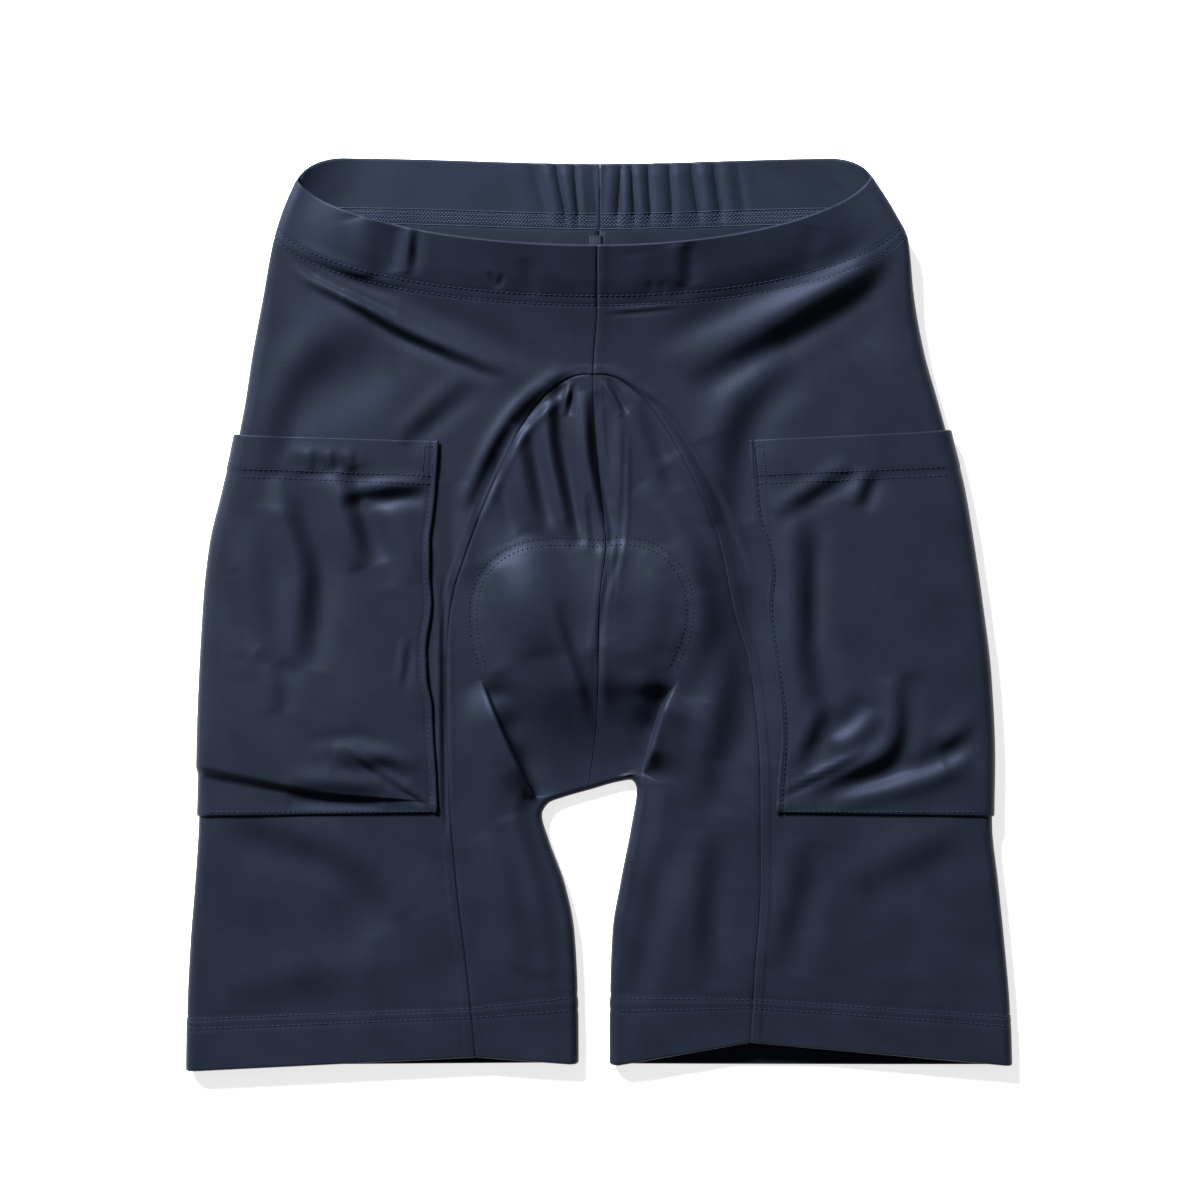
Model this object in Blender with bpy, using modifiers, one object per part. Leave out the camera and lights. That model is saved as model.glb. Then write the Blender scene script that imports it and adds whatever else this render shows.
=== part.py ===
"""Padded cycling shorts in fine stretch knit, lying on their back with the front up.

The garment is a hollow tube of cloth, open at the waist and at both hems. Its
pieces are cut as a maker cuts them: a side panel and an inner panel for each
leg, a waistband in two halves, a patch pocket that wraps round each thigh, and
a seat pad folded inside the crotch. X runs across the body, +Y towards the
waist and +Z up from the surface that the back lies on. Right and left are the
wearer's, so the right leg is at -X. Sizes in the tables are in millimetres.

Every sheet is a grid of points worked out from two numbers. The level runs down
the garment: -1 is the top of the waistband, 0 its lower edge, 1 the peak of the
crotch panel, 2 the crotch and 3 the hem. The station runs round the leg.
"""

import math

import bpy
import numpy as np

MM = 0.001

# Cloth, in mm. The waistband is two layers of knit over elastic.
CLOTH = 1.2
BAND_CLOTH = 2.2
POCKET_CLOTH = 1.0
SEAM_GAP = 0.3
LAYER_GAP = 0.35
HEM_EXTRA = 0.8
GATHER_DEPTH = 0.9
OBJECT_NAME = "padded_cycling_shorts"
BACK_DIP, BACK_DIP_WIDTH = 3.6, 95.0

# Levels of the lines that the pieces meet at.
BAND_TOP, BAND_FOOT, PEAK, CROTCH, HEM = -1.0, 0.0, 1.0, 2.0, 3.0
POCKET_TOP, POCKET_FOOT = 1.30, 2.082
HEM_STITCH = 2.816
WAIST_SEAM = 0.017

# Heights down the centre front, in mm from the middle of the garment.
BAND_TOP_Y, BAND_FOOT_Y, PEAK_Y, CROTCH_Y, HEM_Y = 201.0, 168.0, 131.5, -97.0, -244.0

# How far the front stands off the surface (loft), how much more it bows up at
# the centre of the waist (crown), and how round the front edge line is in plan.
LOFT_COLUMNS = ("level", "loft", "crown", "roundness")
LOFT = (
    (-1.0, 15.0, 12.0, 1.0),
    (-0.5, 15.0, 6.5, 1.0),
    (0.0, 14.5, 1.5, 1.0),
    (0.5, 13.5, 0.5, 0.6),
    (1.0, 13.0, 0.0, 0.2),
    (1.5, 12.5, 0.0, 0.0),
    (2.0, 12.0, 0.0, 0.0),
    (3.0, 10.0, 0.0, 0.0),
)

# How much higher than the front seam each line of the garment lies at a level.
RISE_COLUMNS = ("level", "side_right", "side_left", "seam_left", "back")
RISE = (
    (-1.0, 38.0, 40.0, 0.0, 51.5),
    (0.0, 38.0, 40.0, 0.0, 47.0),
    (0.5, 26.0, 30.0, 0.0, 28.0),
    (1.0, 16.5, 22.0, 0.0, 16.0),
    (1.25, 6.0, 9.0, 0.0, 4.0),
    (1.5, 0.0, 0.0, 0.0, 0.0),
    (2.0, -2.0, -2.0, 0.0, 0.0),
    (2.6, -4.0, -4.0, 2.0, -2.0),
    (3.0, -8.0, -5.0, 8.0, -5.0),
)

# The side folds, which are the outline of the garment seen from above.
SIDE_COLUMNS = ("y", "right", "left")
SIDE = (
    (-252.0, -227.7, 227.7),
    (-218.0, -227.2, 226.6),
    (-179.0, -225.3, 223.3),
    (-150.0, -223.0, 220.3),
    (-113.0, -220.6, 216.6),
    (-80.0, -219.6, 217.0),
    (-36.0, -218.8, 215.0),
    (8.0, -216.6, 209.6),
    (38.0, -213.0, 205.0),
    (68.0, -205.6, 199.6),
    (93.0, -199.6, 193.2),
    (115.0, -195.4, 187.4),
    (145.0, -190.8, 179.0),
    (176.0, -184.8, 173.3),
    (206.0, -178.8, 169.8),
    (222.0, -173.8, 162.0),
    (241.0, -165.5, 150.0),
)

# The front seam starts at the peak and arches out and down each thigh.
ARCH_COLUMNS = ("depth", "right", "left")
ARCH = (
    (0.0, 3.0, 3.0),
    (8.0, 22.0, 22.0),
    (25.0, 37.0, 37.0),
    (51.0, 51.0, 51.5),
    (88.0, 66.0, 68.5),
    (130.0, 78.5, 77.5),
    (165.0, 80.8, 87.0),
    (228.5, 79.1, 91.9),
    (280.0, 75.0, 92.0),
    (330.0, 69.0, 89.0),
    (375.5, 64.5, 86.5),
)
CENTRE_COLUMNS = ("y", "x")
CENTRE = (
    (-97.0, -5.0),
    (-54.0, -1.0),
    (8.0, 0.5),
    (38.0, 3.8),
    (68.0, 1.1),
    (94.0, -1.6),
    (131.5, -3.3),
    (168.0, -1.1),
    (201.0, -1.0),
)

# The inner fold of each leg: along the foot of the crotch, then down the leg.
FOLD_COLUMNS = ("level", "right_x", "right_y", "left_x", "left_y", "radius")
FOLD = (
    (2.00, -5.0, -97.0, -5.0, -97.0, 3.2),
    (2.08, -19.0, -101.0, 9.0, -93.0, 3.2),
    (2.15, -28.0, -104.5, 17.5, -91.5, 3.8),
    (2.22, -31.5, -111.0, 20.8, -97.0, 4.6),
    (2.34, -27.5, -125.0, 17.5, -118.0, 5.0),
    (2.50, -18.5, -150.0, 11.5, -149.0, 5.2),
    (2.66, -13.5, -176.0, 7.2, -176.0, 5.2),
    (2.82, -11.8, -212.0, 6.0, -212.0, 5.0),
    (3.00, -11.6, -248.0, 6.0, -248.6, 4.8),
)
BACK_COLUMNS = ("level", "right", "left")
BACK = ((-1.0, -112.0, 112.0), (1.0, -124.0, 124.0), (2.0, -146.0, 146.0), (3.0, -152.0, 152.0))

POCKET_EDGE_COLUMNS = ("y", "right", "left")
POCKET_EDGE = (
    (-107.0, -89.5, 97.2),
    (-80.0, -89.5, 98.5),
    (-36.0, -93.0, 95.5),
    (30.0, -92.5, 90.5),
    (94.0, -88.0, 83.5),
)
POCKET_WRAP = 44.0
ABOVE_POCKET, BELOW_POCKET = 0.45, 0.12
LIFT_FADE_LEVEL = 0.045
LIFT_MARGIN = 0.02
LIFT_FADE = 8.0
SIDE_FLAT_WIDTH = 26.0
FOLD_BLEND = 12.0
BACK_CORNER = 0.84

# The front lobe of the seat pad swells the crotch panel.
PAD_X, PAD_Y, PAD_HALF_WIDTH, PAD_HALF_HEIGHT = -10.0, -12.0, 60.0, 52.0
PAD_SWELL = 9.5
PAD_REACH, PAD_SLOPE = 1.06, 0.42
REAR_PAD_HALF_WIDTH, REAR_PAD_TOP, REAR_PAD_THICK = 88.0, 104.0, 5.0
NARROW_PAD_HALF_WIDTH, NARROW_PAD_FOOT = 26.0, 84.0
PAD_MIDDLE = (-4.0, 0.0)
PAD_RINGS, PAD_SPOKES, PAD_RIM = 7, 28, 1.8
PAD_CLEARANCE = 1.0

# The web between the legs falls from the pad to the fold at the crotch.
WEB_CORNER_RIGHT, WEB_CORNER_LEFT = (-31.5, -105.0), (21.5, -91.0)
WEB_TOP_RIGHT, WEB_TOP_LEFT = (-64.0, -36.0), (42.0, -38.0)
WEB_RISE = 80.0
CROTCH_BOW = 17.0
LEG_ROLL, LEG_ROLL_FOOT, LEG_ROLL_WIDTH = 6.0, -128.0, 12.0
LEG_ROLL_START, LEG_ROLL_END = 20.0, 30.0
WEB_STEP, WEB_FADE = 7.0, 14.0
WEB_PAD_SHARE = 0.72
PAD_LOWEST_Y, WEB_START_Y = 90.0, -30.0

# Folds of the front: height is up, width is the half width at half height.
FOLD_LINE_COLUMNS = ("height", "width", "start", "middle", "end")
FOLD_LINES = (
    (3.4, 8.0, (-170, 186), (-112, 168), (-30, 132)),
    (-2.6, 8.0, (-163, 170), (-112, 148), (-60, 128)),
    (3.8, 9.0, (158, 196), (98, 172), (30, 142)),
    (-3.4, 9.0, (160, 178), (112, 152), (62, 128)),
    (-2.6, 8.0, (-150, 142), (-168, 120), (-178, 98)),
    (-2.4, 9.0, (112, 136), (84, 112), (74, 66)),
    (-2.0, 8.0, (-42, 122), (-56, 104), (-62, 84)),
    (2.4, 6.0, (-77, 60), (-76, -20), (-74, -120)),
    (-2.2, 6.0, (86, 20), (93, -50), (96, -110)),
    (-1.8, 3.2, (-26, 118), (-22, 88), (-14, 46)),
    (2.2, 3.2, (-10, 116), (-11, 82), (-10, 46)),
    (-2.6, 2.8, (-4, 112), (0, 76), (4, 48)),
    (-1.6, 3.6, (-39, 100), (-36, 76), (-30, 52)),
    (1.8, 4.0, (12, 112), (13, 84), (14, 46)),
    (-1.6, 5.0, (34, 98), (42, 72), (48, 44)),
    (-1.8, 5.0, (-8, -20), (-2, -46), (-6, -72)),
    (-1.6, 9.0, (-150, -160), (-190, -128), (-214, -118)),
    (-1.6, 9.0, (130, -190), (100, -158), (94, -132)),
    (1.6, 10.0, (-150, -214), (-110, -186), (-90, -150)),
    (1.4, 9.0, (60, -214), (40, -170), (34, -120)),
)

# Folds of the two pockets, in the same words.
POCKET_FOLDS = {
    "right": (
        (-2.0, 9.0, (-172, 66), (-168, 28), (-160, -16)),
        (-2.2, 8.0, (-124, 66), (-130, 50), (-140, 36)),
        (2.4, 6.0, (-160, -76), (-124, -72), (-100, -82)),
        (-1.8, 5.0, (-150, -84), (-128, -92), (-108, -98)),
        (-1.4, 6.0, (-204, 40), (-196, 14), (-188, -10)),
    ),
    "left": (
        (-2.4, 6.0, (134, 76), (118, 66), (98, 54)),
        (-2.4, 6.0, (120, 48), (116, 22), (112, -12)),
        (-2.6, 7.0, (174, -58), (166, -78), (140, -84)),
        (2.4, 6.0, (126, -94), (164, -92), (212, -66)),
        (-1.8, 6.0, (112, -40), (108, -62), (104, -78)),
    ),
}
POCKET_BELLY, POCKET_MOUTH, POCKET_SAG, POCKET_FLARE = 1.5, 1.2, 3.8, 2.6
SAG_LEVEL_SEAM, SAG_LEVEL_SIDE = 2.04, 1.955

# Gathers of the elastic inside the back of the waistband, as distances from the
# centre back. Each gather is a rib on the face that shows through the opening.
GATHERS = (-32.0, -26.0, -14.0, -3.0, 6.0, 14.5, 21.0, 28.0, 41.0, 55.0, 70.0)
GATHER_FLANK, GATHER_LEAST_STEP, GATHER_HALF_WIDTH = 2.4, 1.8, 2.0

# Rows and columns of the grids.
BAND_LEVELS = (-1.0, -0.7, -0.35, -0.05, 0.0)
PANEL_LEVELS = (
    (0.0, 0.05, 0.25, 0.5, 0.75, 0.97, 1.0, 1.05, 1.11, 1.18, 1.25, POCKET_TOP, 1.37, 1.44)
    + (1.51, 1.58, 1.65, 1.72, 1.79, 1.86, 1.93, CROTCH, 2.04, POCKET_FOOT, 2.13, 2.18)
    + (2.23, 2.3, 2.4, 2.52, 2.66, HEM_STITCH, 2.91, HEM)
)
POCKET_SHARES = (0.0, 0.045, 0.11, 0.19, 0.28, 0.37, 0.46, 0.55, 0.64, 0.73, 0.82)
SAG_SHARES = (0.87, 0.905, 0.93, 1.0)
SIDE_STATIONS = (3, 8, 5, 3, 2)
SEAM_EDGE = 0.1
INNER_SHARES = (0.0, 0.02, 0.1, 0.2, 0.31, 0.42, 0.52, 0.61, 0.69, 0.76, 0.82, 0.88, 0.94, 1.0)
FOLD_STEPS = 5
BACK_STEPS = 4

NAVY = (0.021, 0.031, 0.056, 1.0)
PAD_GREY = (0.05, 0.055, 0.065, 1.0)


def column(table, names, key, value):
    """A smooth line through one column of a table, read at any key.

    Slopes are harmonic means, so the line never swings past its points.
    """
    keys = np.array([row[names.index(key)] for row in table], float)
    values = np.array([row[names.index(value)] for row in table], float)
    steps = np.diff(keys)
    rates = np.diff(values) / steps
    slopes = np.zeros(len(keys))
    slopes[0], slopes[-1] = rates[0], rates[-1]
    for i in range(1, len(keys) - 1):
        if rates[i - 1] * rates[i] > 0:
            slopes[i] = 2 * rates[i - 1] * rates[i] / (rates[i - 1] + rates[i])

    def read(at):
        at = min(max(at, keys[0]), keys[-1])
        i = min(int(np.searchsorted(keys, at, side="right")) - 1, len(steps) - 1)
        t = (at - keys[i]) / steps[i]
        return float(
            (1 + 2 * t) * (1 - t) ** 2 * values[i]
            + t * (1 - t) ** 2 * steps[i] * slopes[i]
            + t * t * (3 - 2 * t) * values[i + 1]
            - t * t * (1 - t) * steps[i] * slopes[i + 1]
        )

    return read


loft = column(LOFT, LOFT_COLUMNS, "level", "loft")
crown = column(LOFT, LOFT_COLUMNS, "level", "crown")
roundness = column(LOFT, LOFT_COLUMNS, "level", "roundness")
back_rise = column(RISE, RISE_COLUMNS, "level", "back")
left_seam_rise = column(RISE, RISE_COLUMNS, "level", "seam_left")
centre_x = column(CENTRE, CENTRE_COLUMNS, "y", "x")
fold_radius = column(FOLD, FOLD_COLUMNS, "level", "radius")
SIDES = ("right", "left")
side_rise = {s: column(RISE, RISE_COLUMNS, "level", "side_" + s) for s in SIDES}
side_x = {s: column(SIDE, SIDE_COLUMNS, "y", s) for s in SIDES}
arch = {s: column(ARCH, ARCH_COLUMNS, "depth", s) for s in SIDES}
fold_x = {s: column(FOLD, FOLD_COLUMNS, "level", s + "_x") for s in SIDES}
fold_y = {s: column(FOLD, FOLD_COLUMNS, "level", s + "_y") for s in SIDES}
back_x = {s: column(BACK, BACK_COLUMNS, "level", s) for s in SIDES}
pocket_edge = {s: column(POCKET_EDGE, POCKET_EDGE_COLUMNS, "y", s) for s in SIDES}
OUTWARD = {"right": -1.0, "left": 1.0}


def ease(t):
    """0 to 1 with a level start and end."""
    t = min(max(t, 0.0), 1.0)
    return t * t * (3 - 2 * t)


def mix(a, b, t):
    return a + (b - a) * t


def centre_y(level):
    """Height of the front seam of the right leg at a level."""
    if level <= BAND_FOOT:
        return mix(BAND_FOOT_Y, BAND_TOP_Y, -level)
    if level <= PEAK:
        return mix(BAND_FOOT_Y, PEAK_Y, level)
    if level <= CROTCH:
        return PEAK_Y + (CROTCH_Y - PEAK_Y) * (level - PEAK) ** 1.5
    return mix(CROTCH_Y, HEM_Y, level - CROTCH)


def arch_offset(side, depth):
    """Half width of the crotch panel, round at its peak."""
    first = ARCH[1][0]
    if depth < first:
        start = ARCH[0][1]
        return start + (arch[side](first) - start) * math.sqrt(max(depth, 0) / first)
    return arch[side](depth)


def bare_seam(side, level):
    """The line where side panel and inner panel meet, or the centre front above the peak."""
    y = centre_y(level)
    if level < PEAK:
        return np.array([centre_x(y), y])
    x = centre_x(PEAK_Y) + OUTWARD[side] * arch_offset(side, PEAK_Y - y)
    rise = left_seam_rise(level) if side == "left" else 0.0
    return np.array([x, y + rise])


def front_seam(side, level, gap):
    """The front seam moved off itself by gap, away from the inner panel."""
    here = bare_seam(side, level)
    out = OUTWARD[side]
    if level < PEAK:
        return here + np.array([out * gap, 0.0])
    along = bare_seam(side, min(level + 0.01, HEM)) - bare_seam(side, max(level - 0.01, PEAK))
    normal = np.array([-along[1] * out, along[0] * out])
    return here + gap * normal / np.linalg.norm(normal)


def side_point(side, level):
    """The side fold at a level, on the outline seen from above."""
    y = centre_y(level) + side_rise[side](level)
    return np.array([side_x[side](y), y])


def centre_front(side, level):
    """The centre seam of the crotch panel, half a gap to this side."""
    y = centre_y(level)
    return np.array([centre_x(y) + OUTWARD[side] * SEAM_GAP / 2, y])


def back_y(level):
    return centre_y(level) + back_rise(level)


def back_dip(level, x):
    """The back edge of the waist sags a little at its centre."""
    return BACK_DIP * math.exp(-((x / BACK_DIP_WIDTH) ** 2)) * ease(1 - level)


def centre_back(side, level):
    """The centre seam of the seat. It meets the centre front at the crotch."""
    x = mix(0.5, centre_x(CROTCH_Y), ease((level - 1.5) / 0.5))
    return np.array([x + OUTWARD[side] * SEAM_GAP / 2, back_y(level)])


def back_seam(side, level, gap):
    return np.array([back_x[side](level) + OUTWARD[side] * gap, back_y(level)])


def fold_frame(side, level):
    """Where the inner fold starts to turn, and the way it faces in plan."""
    step = 0.012
    low, high = max(level - step, CROTCH), min(level + step, HEM)
    along = np.array(
        [fold_x[side](high) - fold_x[side](low), fold_y[side](high) - fold_y[side](low)]
    )
    along = along / np.linalg.norm(along)
    out = OUTWARD[side]
    facing = np.array([along[1] * out, -along[0] * out])
    edge = np.array([fold_x[side](level), fold_y[side](level)])
    if level <= CROTCH:
        edge = edge + np.array([out * SEAM_GAP / 2, 0.0])
    return edge - facing * fold_radius(level), facing


def signed_distance(point, start, end):
    """Distance from the line through start and end, positive on its left."""
    line = np.array(end, float) - np.array(start, float)
    away = np.array(point, float) - np.array(start, float)
    return float(line[0] * away[1] - line[1] * away[0]) / float(np.hypot(*line))


def fold_line_height(x, y, lines):
    """Sum of the fold lines at a point. Each dies away at its ends."""
    total = 0.0
    for height, width, *points in lines:
        best, share = 1e9, 0.0
        for i in range(2):
            a, b = np.array(points[i], float), np.array(points[i + 1], float)
            t = float(np.dot((x, y) - a, b - a) / np.dot(b - a, b - a))
            t = min(max(t, 0.0), 1.0)
            d = float(np.hypot(*((x, y) - (a + (b - a) * t))))
            if d < best:
                best, share = d, (i + t) / 2
        fade = math.sin(math.pi * min(max(share, 0.03), 0.97)) ** 0.5
        total += height * fade * math.exp(-0.7 * (best / width) ** 2)
    return total


def pad_swell(x, y):
    """The swell of the padded front lobe, steep at its stitched edge."""
    reach = math.hypot((x - PAD_X) / PAD_HALF_WIDTH, (y - PAD_Y) / PAD_HALF_HEIGHT)
    return PAD_SWELL * ease((PAD_REACH - reach) / PAD_SLOPE)


def web_share(x, y):
    """1 in the web between the legs, 0 on the legs, with a steep step between."""
    right = signed_distance((x, y), WEB_TOP_RIGHT, WEB_CORNER_RIGHT)
    left = signed_distance((x, y), WEB_CORNER_LEFT, WEB_TOP_LEFT)
    below = (WEB_TOP_LEFT[1] - y) / WEB_FADE
    return ease(min(right, left) / WEB_STEP + 0.5) * ease(below)


def web_height(x, y):
    """Height of the web over its distance from the fold at the crotch."""
    away = signed_distance((x, y), WEB_CORNER_RIGHT, WEB_CORNER_LEFT)
    radius = fold_radius(CROTCH)
    top = loft(CROTCH) + PAD_SWELL * WEB_PAD_SHARE
    return mix(2 * radius, top, ease((away - radius) / WEB_RISE) ** 1.4)


def open_height(level, x, y, across):
    """Height of the front away from the folds at its sides."""
    z = loft(level) + crown(level) * math.sqrt(max(1 - across * across, 0.0))
    z += fold_line_height(x, y, FOLD_LINES)
    if y < PAD_LOWEST_Y:
        z += pad_swell(x, y)
    if y < WEB_START_Y:
        right = signed_distance((x, y), WEB_TOP_RIGHT, WEB_CORNER_RIGHT)
        left = signed_distance((x, y), WEB_CORNER_LEFT, WEB_TOP_LEFT)
        near = math.exp(-((min(right, left) / LEG_ROLL_WIDTH) ** 2))
        depth = ease((WEB_TOP_LEFT[1] - y) / LEG_ROLL_START) * ease((y - LEG_ROLL_FOOT) / LEG_ROLL_END)
        z += LEG_ROLL * near * depth
        share = web_share(x, y)
        z = mix(z, web_height(x, y), share)
    return z


def lift(side, level, x):
    """How far the back of a side panel is raised by the pocket that lies under it."""
    rows = ease((level - POCKET_TOP + LIFT_MARGIN) / LIFT_FADE_LEVEL + 1)
    rows *= ease((POCKET_FOOT + LIFT_MARGIN - level) / LIFT_FADE_LEVEL + 1)
    wrap = abs(side_point(side, level)[0]) - POCKET_WRAP
    columns = ease((abs(x) - wrap) / LIFT_FADE + 1)
    return (POCKET_CLOTH + LAYER_GAP) * rows * columns


def bow_share(across):
    """A quarter of an ellipse in plan, cut just short of its upright end."""
    reach = 0.985
    most = 1 - math.sqrt(1 - reach**2)
    return (1 - math.sqrt(1 - (reach * min(across, 1.0)) ** 2)) / most


def corner_share(across):
    """The rounded corner of a back edge line, near the side fold only."""
    return bow_share(max(across - BACK_CORNER, 0.0) / (1 - BACK_CORNER))


def side_surface(side, level, station):
    """A point of the outer face of the side panel or waistband.

    Station 0 is the front seam, 1 the front edge of the pocket, 2 the start of
    the side fold, 3 its end under the garment, 4 the back edge of the pocket,
    5 the back seam, and on the waistband 6 is the centre back.
    """
    out = OUTWARD[side]
    seam = front_seam(side, level, SEAM_GAP / 2)
    fold = side_point(side, level)
    back = back_seam(side, level, SEAM_GAP / 2 if level > BAND_FOOT else 0.0)
    raised = lift(side, level, fold[0])
    radius = (loft(level) - raised) / 2
    turn = fold[0] - out * radius
    z = None
    if station <= 2:
        above, below = mix(seam[0], turn, ABOVE_POCKET), mix(seam[0], turn, BELOW_POCKET)
        edge = mix(above, pocket_edge[side](seam[1]), ease((level - PEAK) / (POCKET_TOP - PEAK)))
        edge = mix(edge, below, ease((level - POCKET_FOOT) / (HEM - POCKET_FOOT)))
        x = mix(seam[0], edge, station) if station < 1 else mix(edge, turn, station - 1)
    elif station < 3:
        angle = math.pi * (station - 2)
        x = turn + out * radius * math.sin(angle)
        z = raised + radius * (1 + math.cos(angle))
    else:
        on_leg = ease((level - PEAK) / (POCKET_TOP - PEAK))
        wrap = mix(mix(turn, back[0], 0.5), fold[0] - out * POCKET_WRAP, on_leg)
        if station <= 4:
            x = mix(turn, wrap, station - 3)
        elif station <= 5:
            x = mix(wrap, back[0], station - 4)
        else:
            x = mix(back[0], centre_back(side, level)[0], station - 5)
    if station < 2.5:
        across = min(max((x - seam[0]) / (fold[0] - seam[0]), 0.0), 1.0)
        bow = roundness(level)
        share = mix(across, bow_share(across), bow)
        y = mix(seam[1], fold[1], share)
    else:
        y = mix(back[1], fold[1], corner_share(min(abs(x / fold[0]), 1.0)))
        y -= back_dip(level, x)
    if z is None and station <= 2:
        flat = ease((abs(turn) - abs(x)) / SIDE_FLAT_WIDTH)
        z = mix(raised + 2 * radius, open_height(level, x, y, across), flat)
    elif z is None:
        z = lift(side, level, x)
    return np.array([x, y, z])


def inner_surface(side, level, station):
    """A point of the outer face of the inner panel.

    Station 0 is the front seam and 1 the centre front, or below the crotch the
    start of the inner fold. Station 2 is the centre back, or below the crotch
    the end of the fold, and 3 is the back seam.
    """
    seam = front_seam(side, level, -SEAM_GAP / 2)
    back = back_seam(side, level, -SEAM_GAP / 2)
    turn, facing = fold_frame(side, max(level, CROTCH))
    if station <= 1:
        end = turn if level >= CROTCH else centre_front(side, level)
        if level > 1.9 and level < CROTCH:
            end = mix(centre_front(side, level), turn, ease((level - 1.9) / 0.1))
            end[0] = centre_front(side, level)[0]
        x, y = mix(seam, end, station)
        y += crotch_bow(side, level, station)
        z = open_height(level, x, y, 0.0)
        if level >= CROTCH:
            away = math.hypot(x - turn[0], y - turn[1])
            z = mix(2 * fold_radius(level), z, ease(away / FOLD_BLEND))
        return np.array([x, y, z])
    if station < 2:
        angle = math.pi * (station - 1)
        radius = fold_radius(level)
        x, y = turn + facing * radius * math.sin(angle)
        return np.array([x, y, radius * (1 + math.cos(angle))])
    start = turn if level >= CROTCH else centre_back(side, level)
    if level < CROTCH:
        start = np.array([start[0], mix(start[1], turn[1], ease((level - 1.9) / 0.1))])
    x, y = mix(start, back, station - 2)
    y += crotch_bow(side, level, station - 2) - back_dip(level, x)
    return np.array([x, y, 0.0])


def crotch_bow(side, level, share):
    """Rows of the left leg bow up beside the crotch, whose foot rises that way."""
    if side == "right":
        return 0.0
    near = 1 - (level - CROTCH) / 0.2 if level > CROTCH else 1 - (CROTCH - level) / 0.35
    return CROTCH_BOW * max(near, 0.0) * math.sin(math.pi * share) ** 0.6


def outward_normal(surface, side, level, station):
    """Unit normal of a surface, pointing out of the garment."""
    d = 0.004
    down = surface(side, level + d, station) - surface(side, level - d, station)
    round_it = surface(side, level, station + d) - surface(side, level, station - d)
    normal = np.cross(down, round_it) * OUTWARD[side]
    return normal / np.linalg.norm(normal)


def pocket_level(share, station):
    """Level of a pocket row. One row follows the fold that sags over the foot."""
    across = min(max(station - 1, 0.0), 1.0)
    sag = mix(SAG_LEVEL_SEAM, SAG_LEVEL_SIDE, across)
    knee = SAG_SHARES[0]
    if share <= knee:
        return mix(POCKET_TOP, sag, share / knee)
    return mix(sag, POCKET_FOOT, (share - knee) / (1 - knee))


def pocket_surface(side, share, station):
    """The outer face of a pocket: points of the side panel, moved out."""
    level = pocket_level(share, station)
    base = side_surface(side, level, station)
    normal = outward_normal(side_surface, side, level, station)
    across = min(max(station - 1, 0.0), 1.0)
    inside = math.sin(math.pi * min(across, 1.0)) ** 0.7 if station < 2 else 0.0
    height = math.sin(math.pi * min(max(share, 0.0), 1.0)) ** 0.6
    out = POCKET_BELLY * inside * height
    out += POCKET_MOUTH * inside * (1 - share) ** 5
    round_fold = math.sin(math.pi * min(max((station - 1.4) / 1.5, 0.0), 1.0))
    out += POCKET_FLARE * round_fold * (1 - share) ** 2
    if side == "right":
        belly = ease(share / 0.8) * (1 - ease((share - SAG_SHARES[0]) / 0.045))
        round_side = ease(across / 0.45) * (1 - ease((station - 2.1) / 0.5))
        out += POCKET_SAG * belly * round_side * ease((share - 0.45) / 0.4)
    if station < 2:
        edge = ease(across / 0.12) * ease((1 - across) / 0.2) * ease(share / 0.08)
        edge *= ease((1 - share) / 0.08)
        out += max(fold_line_height(base[0], base[1], POCKET_FOLDS[side]) * edge, -out)
    return base + normal * (POCKET_CLOTH + LAYER_GAP + out)


def grid_mesh(name, points, flip):
    """An open mesh of quads from a dictionary of points by row and column."""
    order = {key: i for i, key in enumerate(points)}
    faces = []
    for row, col in points:
        ring = [(row, col), (row + 1, col), (row + 1, col + 1), (row, col + 1)]
        if all(key in order for key in ring):
            faces.append([order[key] for key in (reversed(ring) if flip else ring)])
    mesh = bpy.data.meshes.new(name)
    mesh.from_pydata([tuple(p * MM) for p in points.values()], [], faces)
    mesh.validate()
    return mesh


def put_in_collection(thing):
    """Link an object to the collection that has the object's name."""
    home = bpy.data.collections.get(OBJECT_NAME)
    if home is None:
        home = bpy.data.collections.new(OBJECT_NAME)
        bpy.context.scene.collection.children.link(home)
    home.objects.link(thing)


def add_cloth(name, points, flip, thick, material, weights=None):
    """A named sheet of cloth with its wall made by Solidify, inwards.

    Weights by row and column make the wall thinner than thick in places.
    """
    mesh = grid_mesh(name, points, flip)
    cloth = bpy.data.objects.new(name, mesh)
    put_in_collection(cloth)
    wall = cloth.modifiers.new("wall", "SOLIDIFY")
    wall.thickness = thick * MM
    wall.offset = -1.0
    wall.use_even_offset = False
    if weights:
        group = cloth.vertex_groups.new(name="thickness")
        for i, key in enumerate(points):
            group.add([i], weights(key), "REPLACE")
        wall.vertex_group = group.name
    mesh.materials.append(material)
    mesh.shade_smooth()
    return cloth


def stations(counts):
    """Station numbers with an even count of steps between whole numbers."""
    found = [i + j / count for i, count in enumerate(counts) for j in range(count)]
    return found + [float(len(counts))]


def panel_share(key):
    """Wall at a grid point of a panel, as a share of the wall at the turned hem."""
    extra = HEM_EXTRA if PANEL_LEVELS[key[0]] >= HEM_STITCH else 0.0
    return (CLOTH + extra) / (CLOTH + HEM_EXTRA)


def add_side_panel(side, material):
    columns = sorted(stations(SIDE_STATIONS) + [SEAM_EDGE])
    points = {}
    for row, level in enumerate(PANEL_LEVELS):
        at = level + WAIST_SEAM / 2 if level == BAND_FOOT else level
        for col, station in enumerate(columns):
            points[row, col] = side_surface(side, at, station)

    flip = side == "right"
    thick = CLOTH + HEM_EXTRA
    return add_cloth("side_panel_" + side, points, flip, thick, material, panel_share)


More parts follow.
